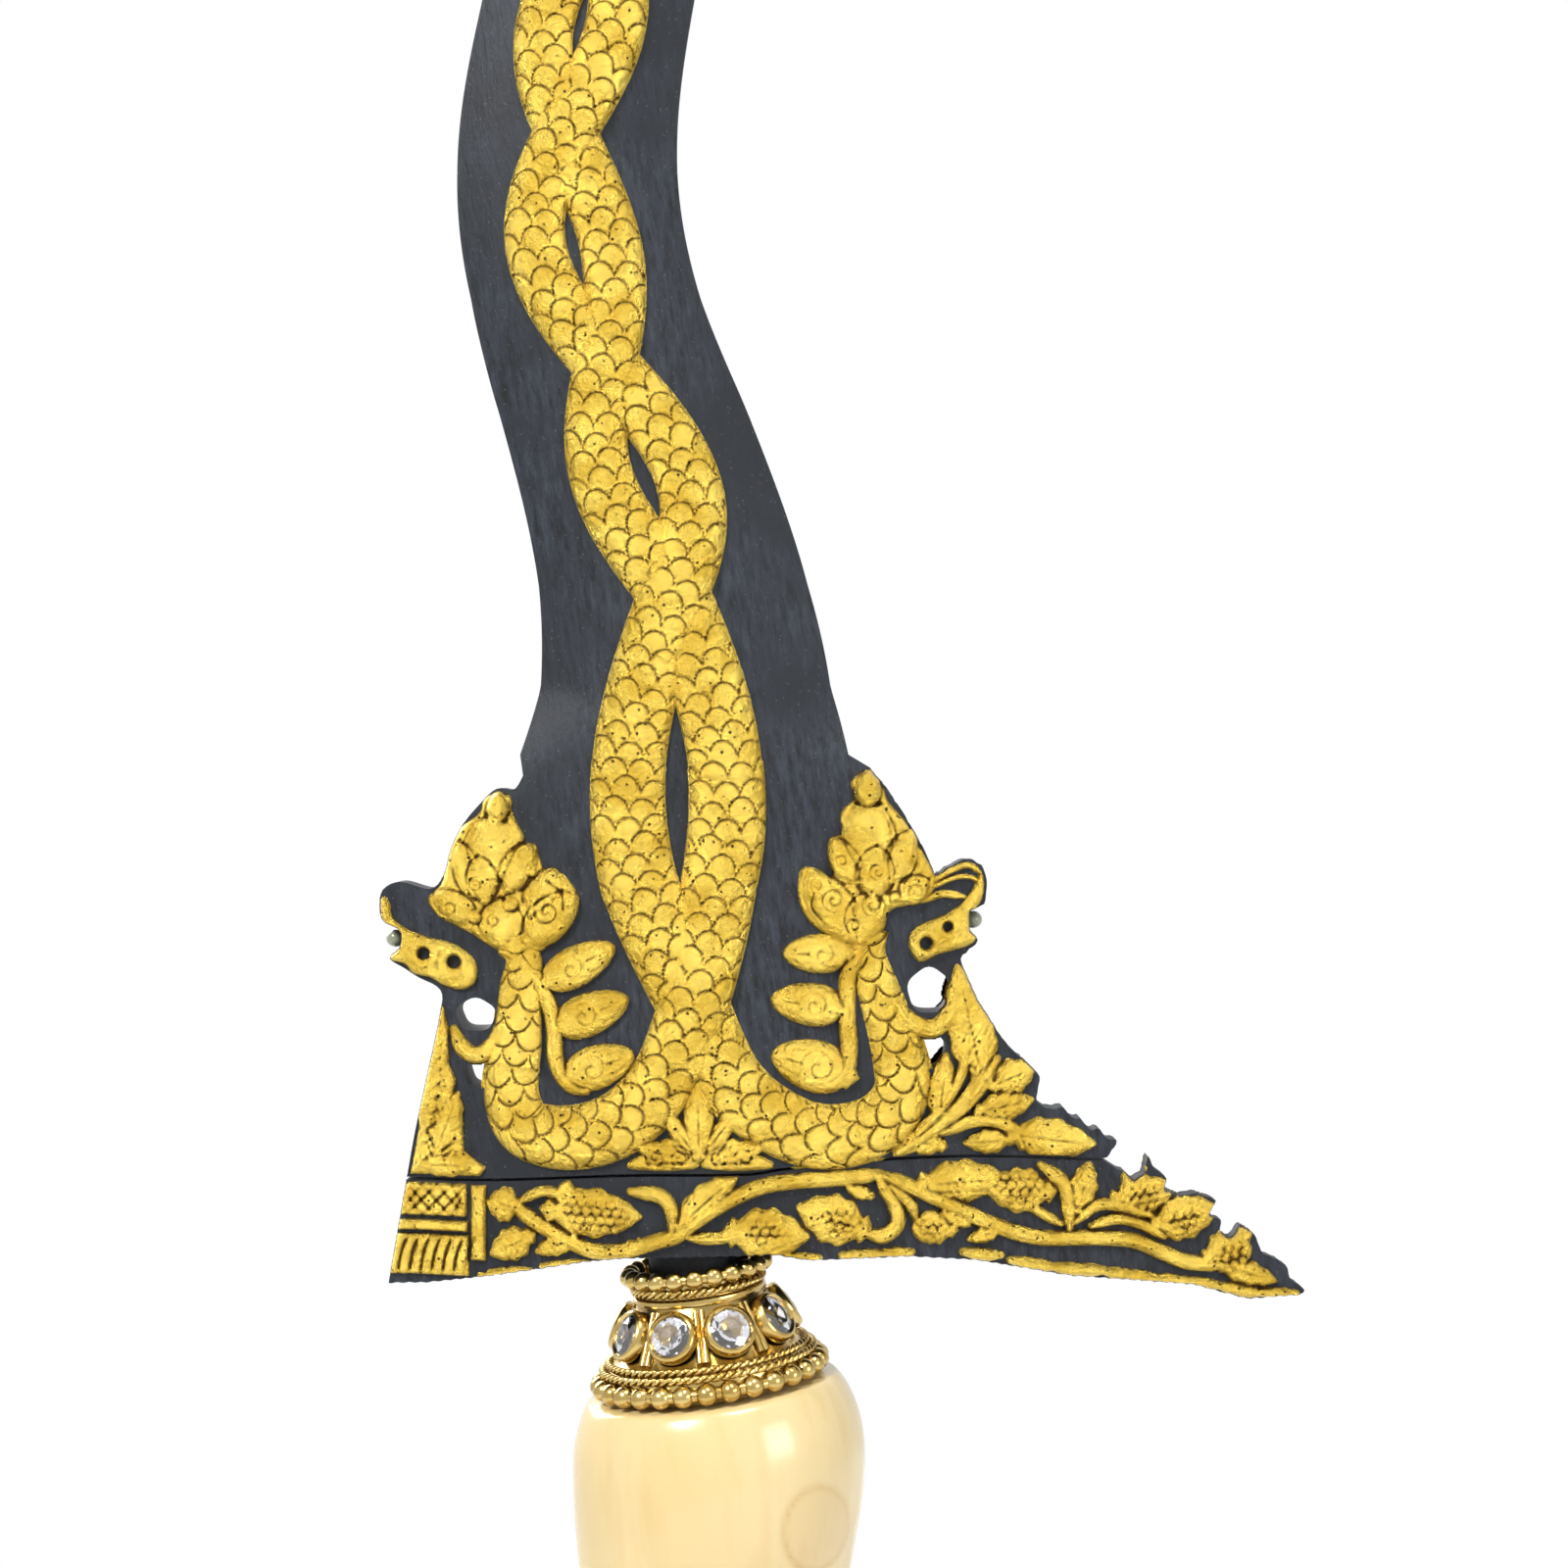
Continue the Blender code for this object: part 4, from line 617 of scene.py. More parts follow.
def make_serpent(name, side, lower, front, material, over):
    spacing = 0.15
    columns = 41
    path, along = serpent_path(side, lower, spacing)
    ahead = np.gradient(path, axis=0)
    ahead /= np.linalg.norm(ahead, axis=1)[:, None]
    across = np.linspace(-1.12, 1.12, columns)
    half = table(LOWER_WIDTHS, along) / 2
    high = path[:, 1] > SHOULDER
    half = np.where(high, np.minimum(half, table(UPPER_WIDTHS, share_up(path[:, 1])) / 2), half)
    sideways = np.stack([-ahead[:, 1], ahead[:, 0]], axis=1)
    grid = path[:, None, :] + sideways[:, None, :] * (across[None, :] * half[:, None])[..., None]
    s, t = np.broadcast_arrays(along[:, None], across[None, :])
    width = np.broadcast_to(half[:, None], s.shape)
    relief, groove = scale_relief(s, t, width, bpy.context.scene.kris_sizes.scale_pitch)
    height = bpy.context.scene.kris_sizes.relief_height * np.clip(width / 3.0, 0.35, 1.1)
    body = height * np.sqrt(np.clip(1 - np.abs(t) ** 2.6, 0, 1)) + relief * np.clip(1.15 - np.abs(t), 0, 1) ** 0.5
    heights = crossing_heights()
    count = np.interp(path[:, 1], heights, np.arange(len(heights)))
    from_crossing = np.abs(count - np.round(count)) + (path[:, 1] < heights[0] - 6) * 9
    on_top = (np.round(count) % 2 == over)
    lift = np.where(on_top, 0.34, -0.30) * np.exp(-(from_crossing / 0.13) ** 2)
    body = np.where(np.abs(t) > 1, np.maximum((1 - np.abs(t)) * 3, SUNK), body + lift[:, None])
    out = half_thickness(grid[..., 0], grid[..., 1]) + np.maximum(body, SUNK)
    points = np.stack([grid[..., 0], front * out, grid[..., 1]], axis=-1).reshape(-1, 3)
    faces = grid_faces(*s.shape, flip=front < 0)
    # The scale grooves go out as the painted-shade mask that darkens the gold between the scales.
    return new_object(name, to_world(points), faces, material, groove.ravel() * (np.abs(t.ravel()) < 1))


# ---- Materials --------------------------------------------------------------
def group_of(name, inputs, outputs, wire):
    """A shader node group with named float, colour or vector sockets."""
    tree = bpy.data.node_groups.new(name, "ShaderNodeTree")
    for label, kind, value in inputs:
        socket = tree.interface.new_socket(label, in_out="INPUT", socket_type="NodeSocket" + kind)
        if value is not None:
            socket.default_value = value
    for label, kind in outputs:
        tree.interface.new_socket(label, in_out="OUTPUT", socket_type="NodeSocket" + kind)
    start, end = tree.nodes.new("NodeGroupInput"), tree.nodes.new("NodeGroupOutput")
    wire(tree, start.outputs, end.inputs)
    return tree


def add_node(tree, kind, links=(), **settings):
    node = tree.nodes.new(kind)
    for key, value in settings.items():
        setattr(node, key, value)
    for socket, source in links:
        if isinstance(source, bpy.types.NodeSocket):
            tree.links.new(source, node.inputs[socket])
        else:
            node.inputs[socket].default_value = source
    return node


def ramp(tree, source, low, high):
    node = add_node(tree, "ShaderNodeMapRange", (("Value", source), ("From Min", low), ("From Max", high)))
    return node.outputs["Result"]


def mix_colour(tree, share, first, second, blend="MIX"):
    node = add_node(tree, "ShaderNodeMix", data_type="RGBA", blend_type=blend)
    for index, source in ((0, share), (6, first), (7, second)):
        if isinstance(source, bpy.types.NodeSocket):
            tree.links.new(source, node.inputs[index])
        else:
            node.inputs[index].default_value = source
    return node.outputs[2]


def wear_group():
    """Wrinkles, pits and patchy tone that the beaten metals share."""

    def wire(tree, given, out):
        place_at = add_node(tree, "ShaderNodeTexCoord").outputs["Object"]
        wrinkles = add_node(tree, "ShaderNodeTexNoise", (("Vector", place_at), ("Scale", given["Wrinkle Scale"]), ("Detail", 6.0), ("Roughness", 0.65)))
        patches = add_node(tree, "ShaderNodeTexNoise", (("Vector", place_at), ("Scale", given["Patch Scale"]), ("Detail", 3.0)))
        dots = add_node(tree, "ShaderNodeTexVoronoi", (("Vector", place_at), ("Scale", given["Pit Scale"])))
        broken = add_node(tree, "ShaderNodeTexNoise", (("Vector", place_at), ("Scale", given["Pit Scale"]), ("Detail", 2.0)))
        pit = ramp(tree, dots.outputs["Distance"], 0.24, 0.15)
        gate = ramp(tree, broken.outputs["Fac"], 0.53, 0.58)
        pits = add_node(tree, "ShaderNodeMath", ((0, pit), (1, gate)), operation="MULTIPLY").outputs[0]
        lowered = add_node(tree, "ShaderNodeMath", ((0, pits), (1, 0.6)), operation="MULTIPLY").outputs[0]
        height = add_node(tree, "ShaderNodeMath", ((0, wrinkles.outputs["Fac"]), (1, lowered)), operation="SUBTRACT").outputs[0]
        tree.links.new(height, out["Height"])
        tree.links.new(patches.outputs["Fac"], out["Patches"])
        tree.links.new(pits, out["Pits"])

    inputs = (("Wrinkle Scale", "Float", 900.0), ("Patch Scale", "Float", 160.0), ("Pit Scale", "Float", 900.0))
    return group_of("metal_wear", inputs, (("Height", "Float"), ("Patches", "Float"), ("Pits", "Float")), wire)


def new_material(name):
    material = bpy.data.materials.new(name)
    material.use_nodes = True
    tree = material.node_tree
    return material, tree, tree.nodes["Principled BSDF"]


def bump(tree, height, strength, distance):
    return add_node(tree, "ShaderNodeBump", (("Height", height), ("Strength", strength), ("Distance", distance))).outputs["Normal"]


def worn(tree, wrinkle_scale, patch_scale, pit_scale):
    node = add_node(tree, "ShaderNodeGroup", node_tree=bpy.data.node_groups["metal_wear"])
    for label, value in (("Wrinkle Scale", wrinkle_scale), ("Patch Scale", patch_scale), ("Pit Scale", pit_scale)):
        node.inputs[label].default_value = value
    return node.outputs


def gold_leaf():
    colours = bpy.context.scene.kris_colours
    material, tree, shader = new_material("gold_leaf")
    wear = worn(tree, 1300.0, 260.0, 1300.0)
    groove = add_node(tree, "ShaderNodeAttribute", attribute_name="groove").outputs["Fac"]
    rich = (0.54, 0.36, 0.045, 1.0)
    tone = mix_colour(tree, ramp(tree, wear["Patches"], 0.35, 0.65), tuple(colours.gold), rich)
    # Painted shade: the gold is darkened to the groove colour where the groove attribute marks hollows and scale edges,
    # standing in for shade there.
    shaded_tone = mix_colour(tree, ramp(tree, groove, 0.08, 0.95), tone, tuple(colours.shadow))
    final = mix_colour(tree, wear["Pits"], shaded_tone, (0.06, 0.03, 0.015, 1.0))
    tree.links.new(final, shader.inputs["Base Color"])
    rough = add_node(tree, "ShaderNodeMapRange", (("Value", wear["Patches"]), ("To Min", 0.2), ("To Max", 0.34)))
    tree.links.new(rough.outputs["Result"], shader.inputs["Roughness"])
    shader.inputs["Metallic"].default_value = 1.0
    tree.links.new(bump(tree, wear["Height"], 0.9, 0.0008), shader.inputs["Normal"])
    return material


def black_iron():
    material, tree, shader = new_material("black_iron")
    wear = worn(tree, 2600.0, 90.0, 1900.0)
    place_at = add_node(tree, "ShaderNodeTexCoord").outputs["Object"]
    grain_at = add_node(tree, "ShaderNodeMapping", (("Vector", place_at), ("Scale", (1.0, 1.0, 0.22)), ("Rotation", (0.0, -0.05, 0.0))))
    grain = add_node(tree, "ShaderNodeTexNoise", (("Vector", grain_at.outputs["Vector"]), ("Scale", 1500.0), ("Detail", 5.0), ("Roughness", 0.7)))
    iron = tuple(bpy.context.scene.kris_colours.iron)
    light = (0.036, 0.043, 0.057, 1.0)
    tone = mix_colour(tree, ramp(tree, grain.outputs["Fac"], 0.35, 0.75), iron, light)
    patchy = mix_colour(tree, ramp(tree, wear["Patches"], 0.4, 0.65), tone, (0.008, 0.010, 0.014, 1.0))
    tree.links.new(mix_colour(tree, wear["Pits"], patchy, (0.045, 0.045, 0.045, 1.0)), shader.inputs["Base Color"])
    shader.inputs["Metallic"].default_value = 0.1
    shader.inputs["Specular IOR Level"].default_value = 0.3
    rough = add_node(tree, "ShaderNodeMapRange", (("Value", grain.outputs["Fac"]), ("To Min", 0.42), ("To Max", 0.66)))
    tree.links.new(rough.outputs["Result"], shader.inputs["Roughness"])
    tree.links.new(bump(tree, grain.outputs["Fac"], 0.5, 0.0003), shader.inputs["Normal"])
    return material


def ferrule_metal():
    material, tree, shader = new_material("ferrule_gold")
    wear = worn(tree, 700.0, 300.0, 900.0)
    corners = add_node(tree, "ShaderNodeNewGeometry").outputs["Pointiness"]
    tone = mix_colour(tree, ramp(tree, wear["Patches"], 0.35, 0.7), tuple(bpy.context.scene.kris_colours.ferrule), (0.42, 0.285, 0.08, 1.0))
    # Painted shade: concave corners and crevices, found by pointiness, are darkened to deep brown.
    shaded_tone = mix_colour(tree, ramp(tree, corners, 0.49, 0.40), tone, (0.10, 0.05, 0.015, 1.0))
    tree.links.new(shaded_tone, shader.inputs["Base Color"])
    shader.inputs["Metallic"].default_value = 1.0
    shader.inputs["Roughness"].default_value = 0.2
    tree.links.new(bump(tree, wear["Height"], 0.2, 0.0002), shader.inputs["Normal"])
    return material


def cut_stone():
    material, tree, shader = new_material("cut_stone")
    place_at = add_node(tree, "ShaderNodeTexCoord").outputs["Object"]
    cloud = add_node(tree, "ShaderNodeTexNoise", (("Vector", place_at), ("Scale", 500.0)))
    tree.links.new(mix_colour(tree, cloud.outputs["Fac"], (0.97, 0.93, 0.96, 1.0), (0.86, 0.88, 0.97, 1.0)), shader.inputs["Base Color"])
    shader.inputs["Transmission Weight"].default_value = 1.0
    shader.inputs["Roughness"].default_value = 0.03
    shader.inputs["IOR"].default_value = 2.2
    return material


def pearl_skin():
    material, tree, shader = new_material("pearl_skin")
    place_at = add_node(tree, "ShaderNodeTexCoord").outputs["Object"]
    cloud = add_node(tree, "ShaderNodeTexNoise", (("Vector", place_at), ("Scale", 1400.0)))
    tree.links.new(mix_colour(tree, cloud.outputs["Fac"], (0.40, 0.38, 0.26, 1.0), (0.10, 0.14, 0.10, 1.0)), shader.inputs["Base Color"])
    shader.inputs["Roughness"].default_value = 0.22
    shader.inputs["Coat Weight"].default_value = 0.5
    return material


def polished_tooth():
    material, tree, shader = new_material("polished_tooth")
    place_at = add_node(tree, "ShaderNodeTexCoord").outputs["Object"]
    long_at = add_node(tree, "ShaderNodeMapping", (("Vector", place_at), ("Scale", (1.0, 1.0, 0.18))))
    grain = add_node(tree, "ShaderNodeTexNoise", (("Vector", long_at.outputs["Vector"]), ("Scale", 420.0), ("Detail", 4.0)))
    broad = add_node(tree, "ShaderNodeTexNoise", (("Vector", long_at.outputs["Vector"]), ("Scale", 70.0), ("Detail", 2.0)))
    hilt = tuple(bpy.context.scene.kris_colours.hilt)
    tone = mix_colour(tree, ramp(tree, broad.outputs["Fac"], 0.35, 0.65), hilt, (0.64, 0.50, 0.25, 1.0))
    fine = mix_colour(tree, ramp(tree, grain.outputs["Fac"], 0.5, 1.1), tone, (0.56, 0.38, 0.14, 1.0))
    mark = add_node(tree, "ShaderNodeAttribute", attribute_name="groove").outputs["Fac"]
    tree.links.new(mix_colour(tree, mark, fine, (0.50, 0.32, 0.11, 1.0)), shader.inputs["Base Color"])
    shader.inputs["Roughness"].default_value = 0.24
    shader.inputs["Coat Weight"].default_value = 0.35
    shader.inputs["Coat Roughness"].default_value = 0.12
    tree.links.new(bump(tree, grain.outputs["Fac"], 0.06, 0.0002), shader.inputs["Normal"])
    return material


def wound_cloth():
    material, tree, shader = new_material("wound_cloth")
    place_at = add_node(tree, "ShaderNodeTexCoord").outputs["Object"]
    weave = add_node(tree, "ShaderNodeTexWave", (("Vector", place_at), ("Scale", 900.0), ("Distortion", 1.0)), bands_direction="Z")
    tree.links.new(mix_colour(tree, weave.outputs["Fac"], (0.42, 0.37, 0.28, 1.0), (0.66, 0.61, 0.50, 1.0)), shader.inputs["Base Color"])
    shader.inputs["Roughness"].default_value = 0.9
    tree.links.new(bump(tree, weave.outputs["Fac"], 0.5, 0.0003), shader.inputs["Normal"])
    return material


MAKERS = {
    "iron": black_iron, "gold_leaf": gold_leaf, "ferrule_gold": ferrule_metal, "gem": cut_stone,
    "pearl": pearl_skin, "hilt_bone": polished_tooth, "wrap_cloth": wound_cloth,
}
FINISHES = {}


def finish_for(slot):
    if "metal_wear" not in bpy.data.node_groups:
        wear_group()
    if slot not in FINISHES:
        FINISHES[slot] = MAKERS[slot]()
    return FINISHES[slot]


# ---- Iron -------------------------------------------------------------------
def iron_sheet(name, outline, holes, place_grid, columns, rows):
    """Both faces of an iron piece over a grid, trimmed to its outline."""
    across, along = np.meshgrid(np.linspace(0, 1, columns), np.linspace(0, 1, rows))
    u, v = place_grid(across, along)
    out = half_thickness(u, v)
    front = np.stack([u, -out, v], -1).reshape(-1, 3)
    back = np.stack([u, out, v], -1).reshape(-1, 3)
    count = rows * columns
    faces = np.vstack([grid_faces(rows, columns), grid_faces(rows, columns, flip=True) + count])
    index = np.arange(count).reshape(rows, columns)
    rim = np.concatenate([index[0, :-1], index[:-1, -1], index[-1, :0:-1], index[:0:-1, 0]])
    ahead = np.roll(rim, -1)
    faces = np.vstack([faces, np.stack([ahead, rim, rim + count, ahead + count], 1)])
    piece = new_object(name, to_world(np.vstack([front, back])), faces, finish_for("iron"))
    for index, (shape, operation) in enumerate([(outline, "INTERSECT")] + [(hole, "DIFFERENCE") for hole in holes]):
        cutter = prism(name + "_cutter_" + str(index), shape, 12.0)
        modifier = piece.modifiers.new("trim", "BOOLEAN")
        modifier.operation = operation
        modifier.object = cutter
        bpy.context.view_layer.objects.active = piece
        bpy.ops.object.modifier_apply(modifier=modifier.name)
        bpy.data.objects.remove(cutter)
    piece.data.shade_smooth()
    piece.data.set_sharp_from_angle(angle=math.radians(40))
    return piece


def prism(name, outline, half):
    outline = np.array(outline, float)
    area = np.sum(outline[:, 0] * np.roll(outline[:, 1], -1) - np.roll(outline[:, 0], -1) * outline[:, 1])
    if area < 0:
        outline = outline[::-1]
    count = len(outline)
    near = np.stack([outline[:, 0], np.full(count, -half), outline[:, 1]], 1)
    far = near * (1, -1, 1)
    faces = [list(range(count)), list(range(2 * count - 1, count - 1, -1))]
    faces += [[(i + 1) % count, i, i + count, (i + 1) % count + count] for i in range(count)]
    return new_object(name, to_world(np.vstack([near, far])), faces, finish_for("iron"), smooth=False)


def rough_outline(points, spacing=0.35, size=0.08):
    """A corner-to-corner outline broken up a little, as filed iron is."""
    points = np.array(points, float)
    found = []
    for start, end in zip(points, points[1:]):
        steps = max(1, int(np.linalg.norm(end - start) / spacing))
        found += [start + (end - start) * step / steps for step in range(steps)]
    found = np.array(found + [points[-1]])
    for _ in range(1):
        found[1:-1] = (found[:-2] + found[2:] + 2 * found[1:-1]) / 4
    nudge = size * np.sin(found[:, 0] * 5.3 + 2.1 * np.sin(found[:, 1] * 3.1))
    found[1:-1, 1] += nudge[1:-1]
    return found


def blade_outline():
    edges = np.linspace(SHOULDER, BLADE_TIP, 300)[1:]
    middle, half = blade_middle(edges), blade_half_width(edges)
    left = np.vstack([smooth_path(LEFT_SIDE, 0.5), np.stack([middle - half, edges], 1)])
    right = np.vstack([rough_outline(RIGHT_SIDE, 0.4), np.stack([middle + half, edges], 1)])
    joint = smooth_path(JOINT_LINE, 1.5)[1:-1] + (0, JOINT_GAP)
    left[0, 1] += JOINT_GAP
    right[0, 1] += JOINT_GAP
    return np.vstack([left, right[::-1], joint[::-1]])


def blade_grid(across, along):
    low = 0.3
    v = np.where(along < low, mix(4.0, SHOULDER + 8.0, along / low), mix(SHOULDER + 8.0, BLADE_TIP + 2.0, (along - low) / (1 - low)))
    above = ease((v - SHOULDER) / 8.0)
    spread = mix(46.0, blade_half_width(v) + 2.0, above)
    return mix(TANG_CROSSING[0], blade_middle(v), above) + (2 * across - 1) * spread, v


def ring_outline(u, v, half_width, half_height):
    turns = np.linspace(0, 2 * np.pi, 32, endpoint=False)
    rough = 1 + 0.04 * np.sin(turns * 5)
    return np.stack([u + half_width * rough * np.cos(turns), v + half_height * rough * np.sin(turns)], 1)


def make_blade():
    holes = [ring_outline(*hole) for hole in FLANK_HOLES]
    blade = iron_sheet("blade_iron", blade_outline(), holes, blade_grid, 90, 320)
    tang = turned("tang_iron", [(0.0, -62.0), (2.9, -62.0), (3.2, -61.5), (3.2, 4.0), (0.0, 4.0)], finish_for("iron"), 40)
    place(blade, "blade", "iron", "blade")
    place(tang, "blade", "iron")


def ganja_outline():
    return np.vstack([smooth_path(JOINT_LINE, 1.0), rough_outline(GANJA_FOOT, 0.3, 0.05)])


def make_ganja():
    outline = ganja_outline()

    def spread(across, along):
        return mix(-38.0, 66.0, across), mix(-8.0, 14.0, along)

    ganja = iron_sheet("ganja_iron", outline, [], spread, 160, 40)
    place(ganja, "blade", "iron", "ganja")
    collar = turned("collar_iron", [(3.5, -2.6), (4.5, -2.6), (4.7, -2.4), (4.7, 3.0), (3.5, 3.0)], finish_for("iron"), 48, True)
    place(collar, "blade", "iron")


# ---- Turned and wound pieces ------------------------------------------------
def turned(name, profile, material, steps=96, closed=False, raised=GRIP_TO_GANJA):
    """A (radius, height) profile in millimetres turned about the tang's axis."""
    profile = np.array(profile, float)
    turns = np.linspace(0, 2 * np.pi, steps, endpoint=False)
    ring = np.stack([np.cos(turns), np.sin(turns)], 1)
    points = np.concatenate([
        (profile[:, 0, None, None] * ring[None]), np.broadcast_to((profile[:, 1] + raised)[:, None, None], (len(profile), steps, 1))
    ], axis=2).reshape(-1, 3) * MM
    faces = []
    rows = len(profile) if closed else len(profile) - 1
    for row in range(rows):
        after = (row + 1) % len(profile)
        for step in range(steps):
            beside = (step + 1) % steps
            faces.append((row * steps + step, row * steps + beside, after * steps + beside, after * steps + step))
    made = new_object(name, points, faces, material)
    bm = bmesh.new()
    bm.from_mesh(made.data)
    bmesh.ops.remove_doubles(bm, verts=bm.verts, dist=1e-7)
    bmesh.ops.recalc_face_normals(bm, faces=bm.faces)
    bm.to_mesh(made.data)
    bm.free()
    made.data.shade_smooth()
    made.data.set_sharp_from_angle(angle=math.radians(38))
    return made


def tube_grid(path, radius, sides, closed):
    """Points and faces of a round wire along a path in millimetres."""
    path = np.asarray(path, float)
    ahead = np.roll(path, -1, 0) - np.roll(path, 1, 0) if closed else np.gradient(path, axis=0)
    ahead /= np.linalg.norm(ahead, axis=1)[:, None]
    outward = path * (1, 1, 0)
    outward -= ahead * np.sum(outward * ahead, axis=1)[:, None]
    outward /= np.linalg.norm(outward, axis=1)[:, None]
    third = np.cross(ahead, outward)
    turns = np.linspace(0, 2 * np.pi, sides, endpoint=False)
    size = np.broadcast_to(np.asarray(radius, float), (len(path),))
    points = path[:, None] + size[:, None, None] * (outward[:, None] * np.cos(turns)[None, :, None] + third[:, None] * np.sin(turns)[None, :, None])
    index = np.arange(len(path) * sides).reshape(len(path), sides)
    below, beside = np.roll(index, -1, 0), np.roll(index, -1, 1)
    faces = np.stack([index, beside, np.roll(below, -1, 1), below], -1)
    if not closed:
        faces = faces[:-1]
    return points.reshape(-1, 3), faces.reshape(-1, 4)


def join_grids(grids):
    points, faces, start = [], [], 0
    for some_points, some_faces in grids:
        points.append(some_points)
        faces.append(some_faces + start)
        start += len(some_points)
    return np.vstack(points), np.vstack(faces)


def rope_ring(name, radius, height, thickness, twists):
    """Two round wires twisted together into a ring."""
    turns = np.linspace(0, 2 * np.pi, twists * 12, endpoint=False)
    grids = []
    for strand in (0, np.pi):
        swirl = turns * twists / 2 + strand
        reach = radius + thickness * 0.5 * np.cos(swirl)
        path = np.stack([reach * np.cos(turns), reach * np.sin(turns), height + thickness * 0.5 * np.sin(swirl)], 1)
        grids.append(tube_grid(path, thickness * 0.56, 8, True))
    points, faces = join_grids(grids)
    points[:, 2] += GRIP_TO_GANJA
    return new_object(name, points * MM, faces, finish_for("ferrule_gold"))


def ball_grid(middle, radius, squash=1.0, rings=14, sides=20):
    tilt = np.linspace(0.0, np.pi, rings)
    turns = np.linspace(0, 2 * np.pi, sides, endpoint=False)
    points = np.stack([
        np.outer(np.sin(tilt), np.cos(turns)), np.outer(np.sin(tilt), np.sin(turns)),
        np.outer(np.cos(tilt), np.ones(sides)) * squash,
    ], -1).reshape(-1, 3) * radius + middle
    index = np.arange(rings * sides).reshape(rings, sides)
    beside = np.roll(index, -1, 1)
    faces = np.stack([index[:-1], index[1:], beside[1:], beside[:-1]], -1).reshape(-1, 4)
    return points, faces


def bead_ring(name, radius, height, bead, count):
    turns = np.linspace(0, 2 * np.pi, count, endpoint=False) + np.pi / count
    grids = [ball_grid(np.array([radius * math.cos(t), radius * math.sin(t), height]), bead, 0.95) for t in turns]
    circle = np.linspace(0, 2 * np.pi, 120, endpoint=False)
    wire = np.stack([radius * np.cos(circle), radius * np.sin(circle), np.full(120, height)], 1)
    grids.append(tube_grid(wire, bead * 0.55, 10, True))
    points, faces = join_grids(grids)
    points[:, 2] += GRIP_TO_GANJA
    made = new_object(name, points * MM, faces, finish_for("ferrule_gold"))
    return made


# ---- Operators --------------------------------------------------------------
class KrisOperator:
    bl_options = {"REGISTER", "UNDO"}

    def execute(self, context):
        self.make()
        return {"FINISHED"}


class KRIS_OT_iron(KrisOperator, bpy.types.Operator):
    """Make the blade, its tang and the ganja in blackened iron"""
    bl_idname = "kris.iron"
    bl_label = "Blade and ganja"

    def make(self):
        make_blade()
        make_ganja()


class KRIS_OT_serpents(KrisOperator, bpy.types.Operator):
    """Make the two scaled serpents on each face"""
    bl_idname = "kris.serpents"
    bl_label = "Serpents"

    def make(self):
        for face_name, front in (("front", -1), ("back", 1)):
            left = make_serpent("left_serpent_" + face_name, 1, LEFT_SERPENT, front, finish_for("gold_leaf"), 0)
            right = make_serpent("right_serpent_" + face_name, -1, RIGHT_SERPENT, front, finish_for("gold_leaf"), 1)
            place(left, "blade", "gold_leaf", "serpents_" + face_name)
            place(right, "blade", "gold_leaf")


def crest_relief(side):
    """The crown, cheek and ear of one serpent's head; side is -1 on the left."""
    left = side < 0
    outline = LEFT_CREST if left else RIGHT_CREST
    relief = Relief(np.min(outline, 0) - 1, np.max(outline, 0) + 1, FINE)
    relief.mound(outline, 1.0, 1.1)
    mounds = LEFT_CREST_MOUNDS if left else RIGHT_CREST_MOUNDS
    for root, tip, width, height in mounds:
        relief.leaf(root, tip, width, height, veins=False, toothed=False)
        relief.edge_groove(root, tip, width)
    for u, v, radius in LEFT_CREST_CURLS if left else RIGHT_CREST_CURLS:
        relief.lump((u, v), radius * 0.9, 1.4)
        relief.curl((u, v), radius, 1.7, 0.2, side)
    for band in LEFT_CREST_LINES if left else RIGHT_CREST_LINES:
        relief.groove(band, 0.15, 0.26)
    return relief


def muzzle_relief(outline, pits):
    relief = Relief(np.min(outline, 0) - 1, np.max(outline, 0) + 1, FINE)
    relief.mound(outline, 0.85, 0.7)
    for u, v, radius in pits:
        where = relief.window([(u, v)], radius * 2.4)
        reach = np.hypot(relief.u[where] - u, relief.v[where] - v)
        relief.height[where] += 0.16 * np.exp(-((reach - radius * 1.5) / 0.3) ** 2) * (relief.height[where] > 0)
        relief.height[where] = np.where(reach < radius, np.maximum(SUNK + 0.02, relief.height[where] - 4 * (radius - reach)), relief.height[where])
    return relief


class KRIS_OT_heads(KrisOperator, bpy.types.Operator):
    """Make the serpents' crowns and muzzles"""
    bl_idname = "kris.heads"
    bl_label = "Heads"

    def make(self):
        outline = blade_outline()
        crests = {"left_crest": crest_relief(-1), "right_crest": crest_relief(1)}
        muzzles = {"left_muzzle": muzzle_relief(LEFT_MUZZLE, LEFT_PITS), "right_muzzle": muzzle_relief(RIGHT_MUZZLE, RIGHT_PITS)}
        for relief in list(crests.values()) + list(muzzles.values()):
            relief.trim(outline)
        trims = Relief((21.0, 33.0), (30.0, 41.0), FINE)
        for points, width in SNOUT_TRIMS:
            trims.stem(points, width, 0.5, 0)
        trims.trim(outline)
        for face_name, front in (("front", -1), ("back", 1)):
            for name, relief in {**crests, **muzzles}.items():
                piece = relief.build(name + "_gilding_" + face_name, front, finish_for("gold_leaf"))
                place(piece, "blade", "gold_leaf", name + "_" + face_name)
            place(trims.build("snout_trims_" + face_name, front, finish_for("gold_leaf")), "blade", "gold_leaf")


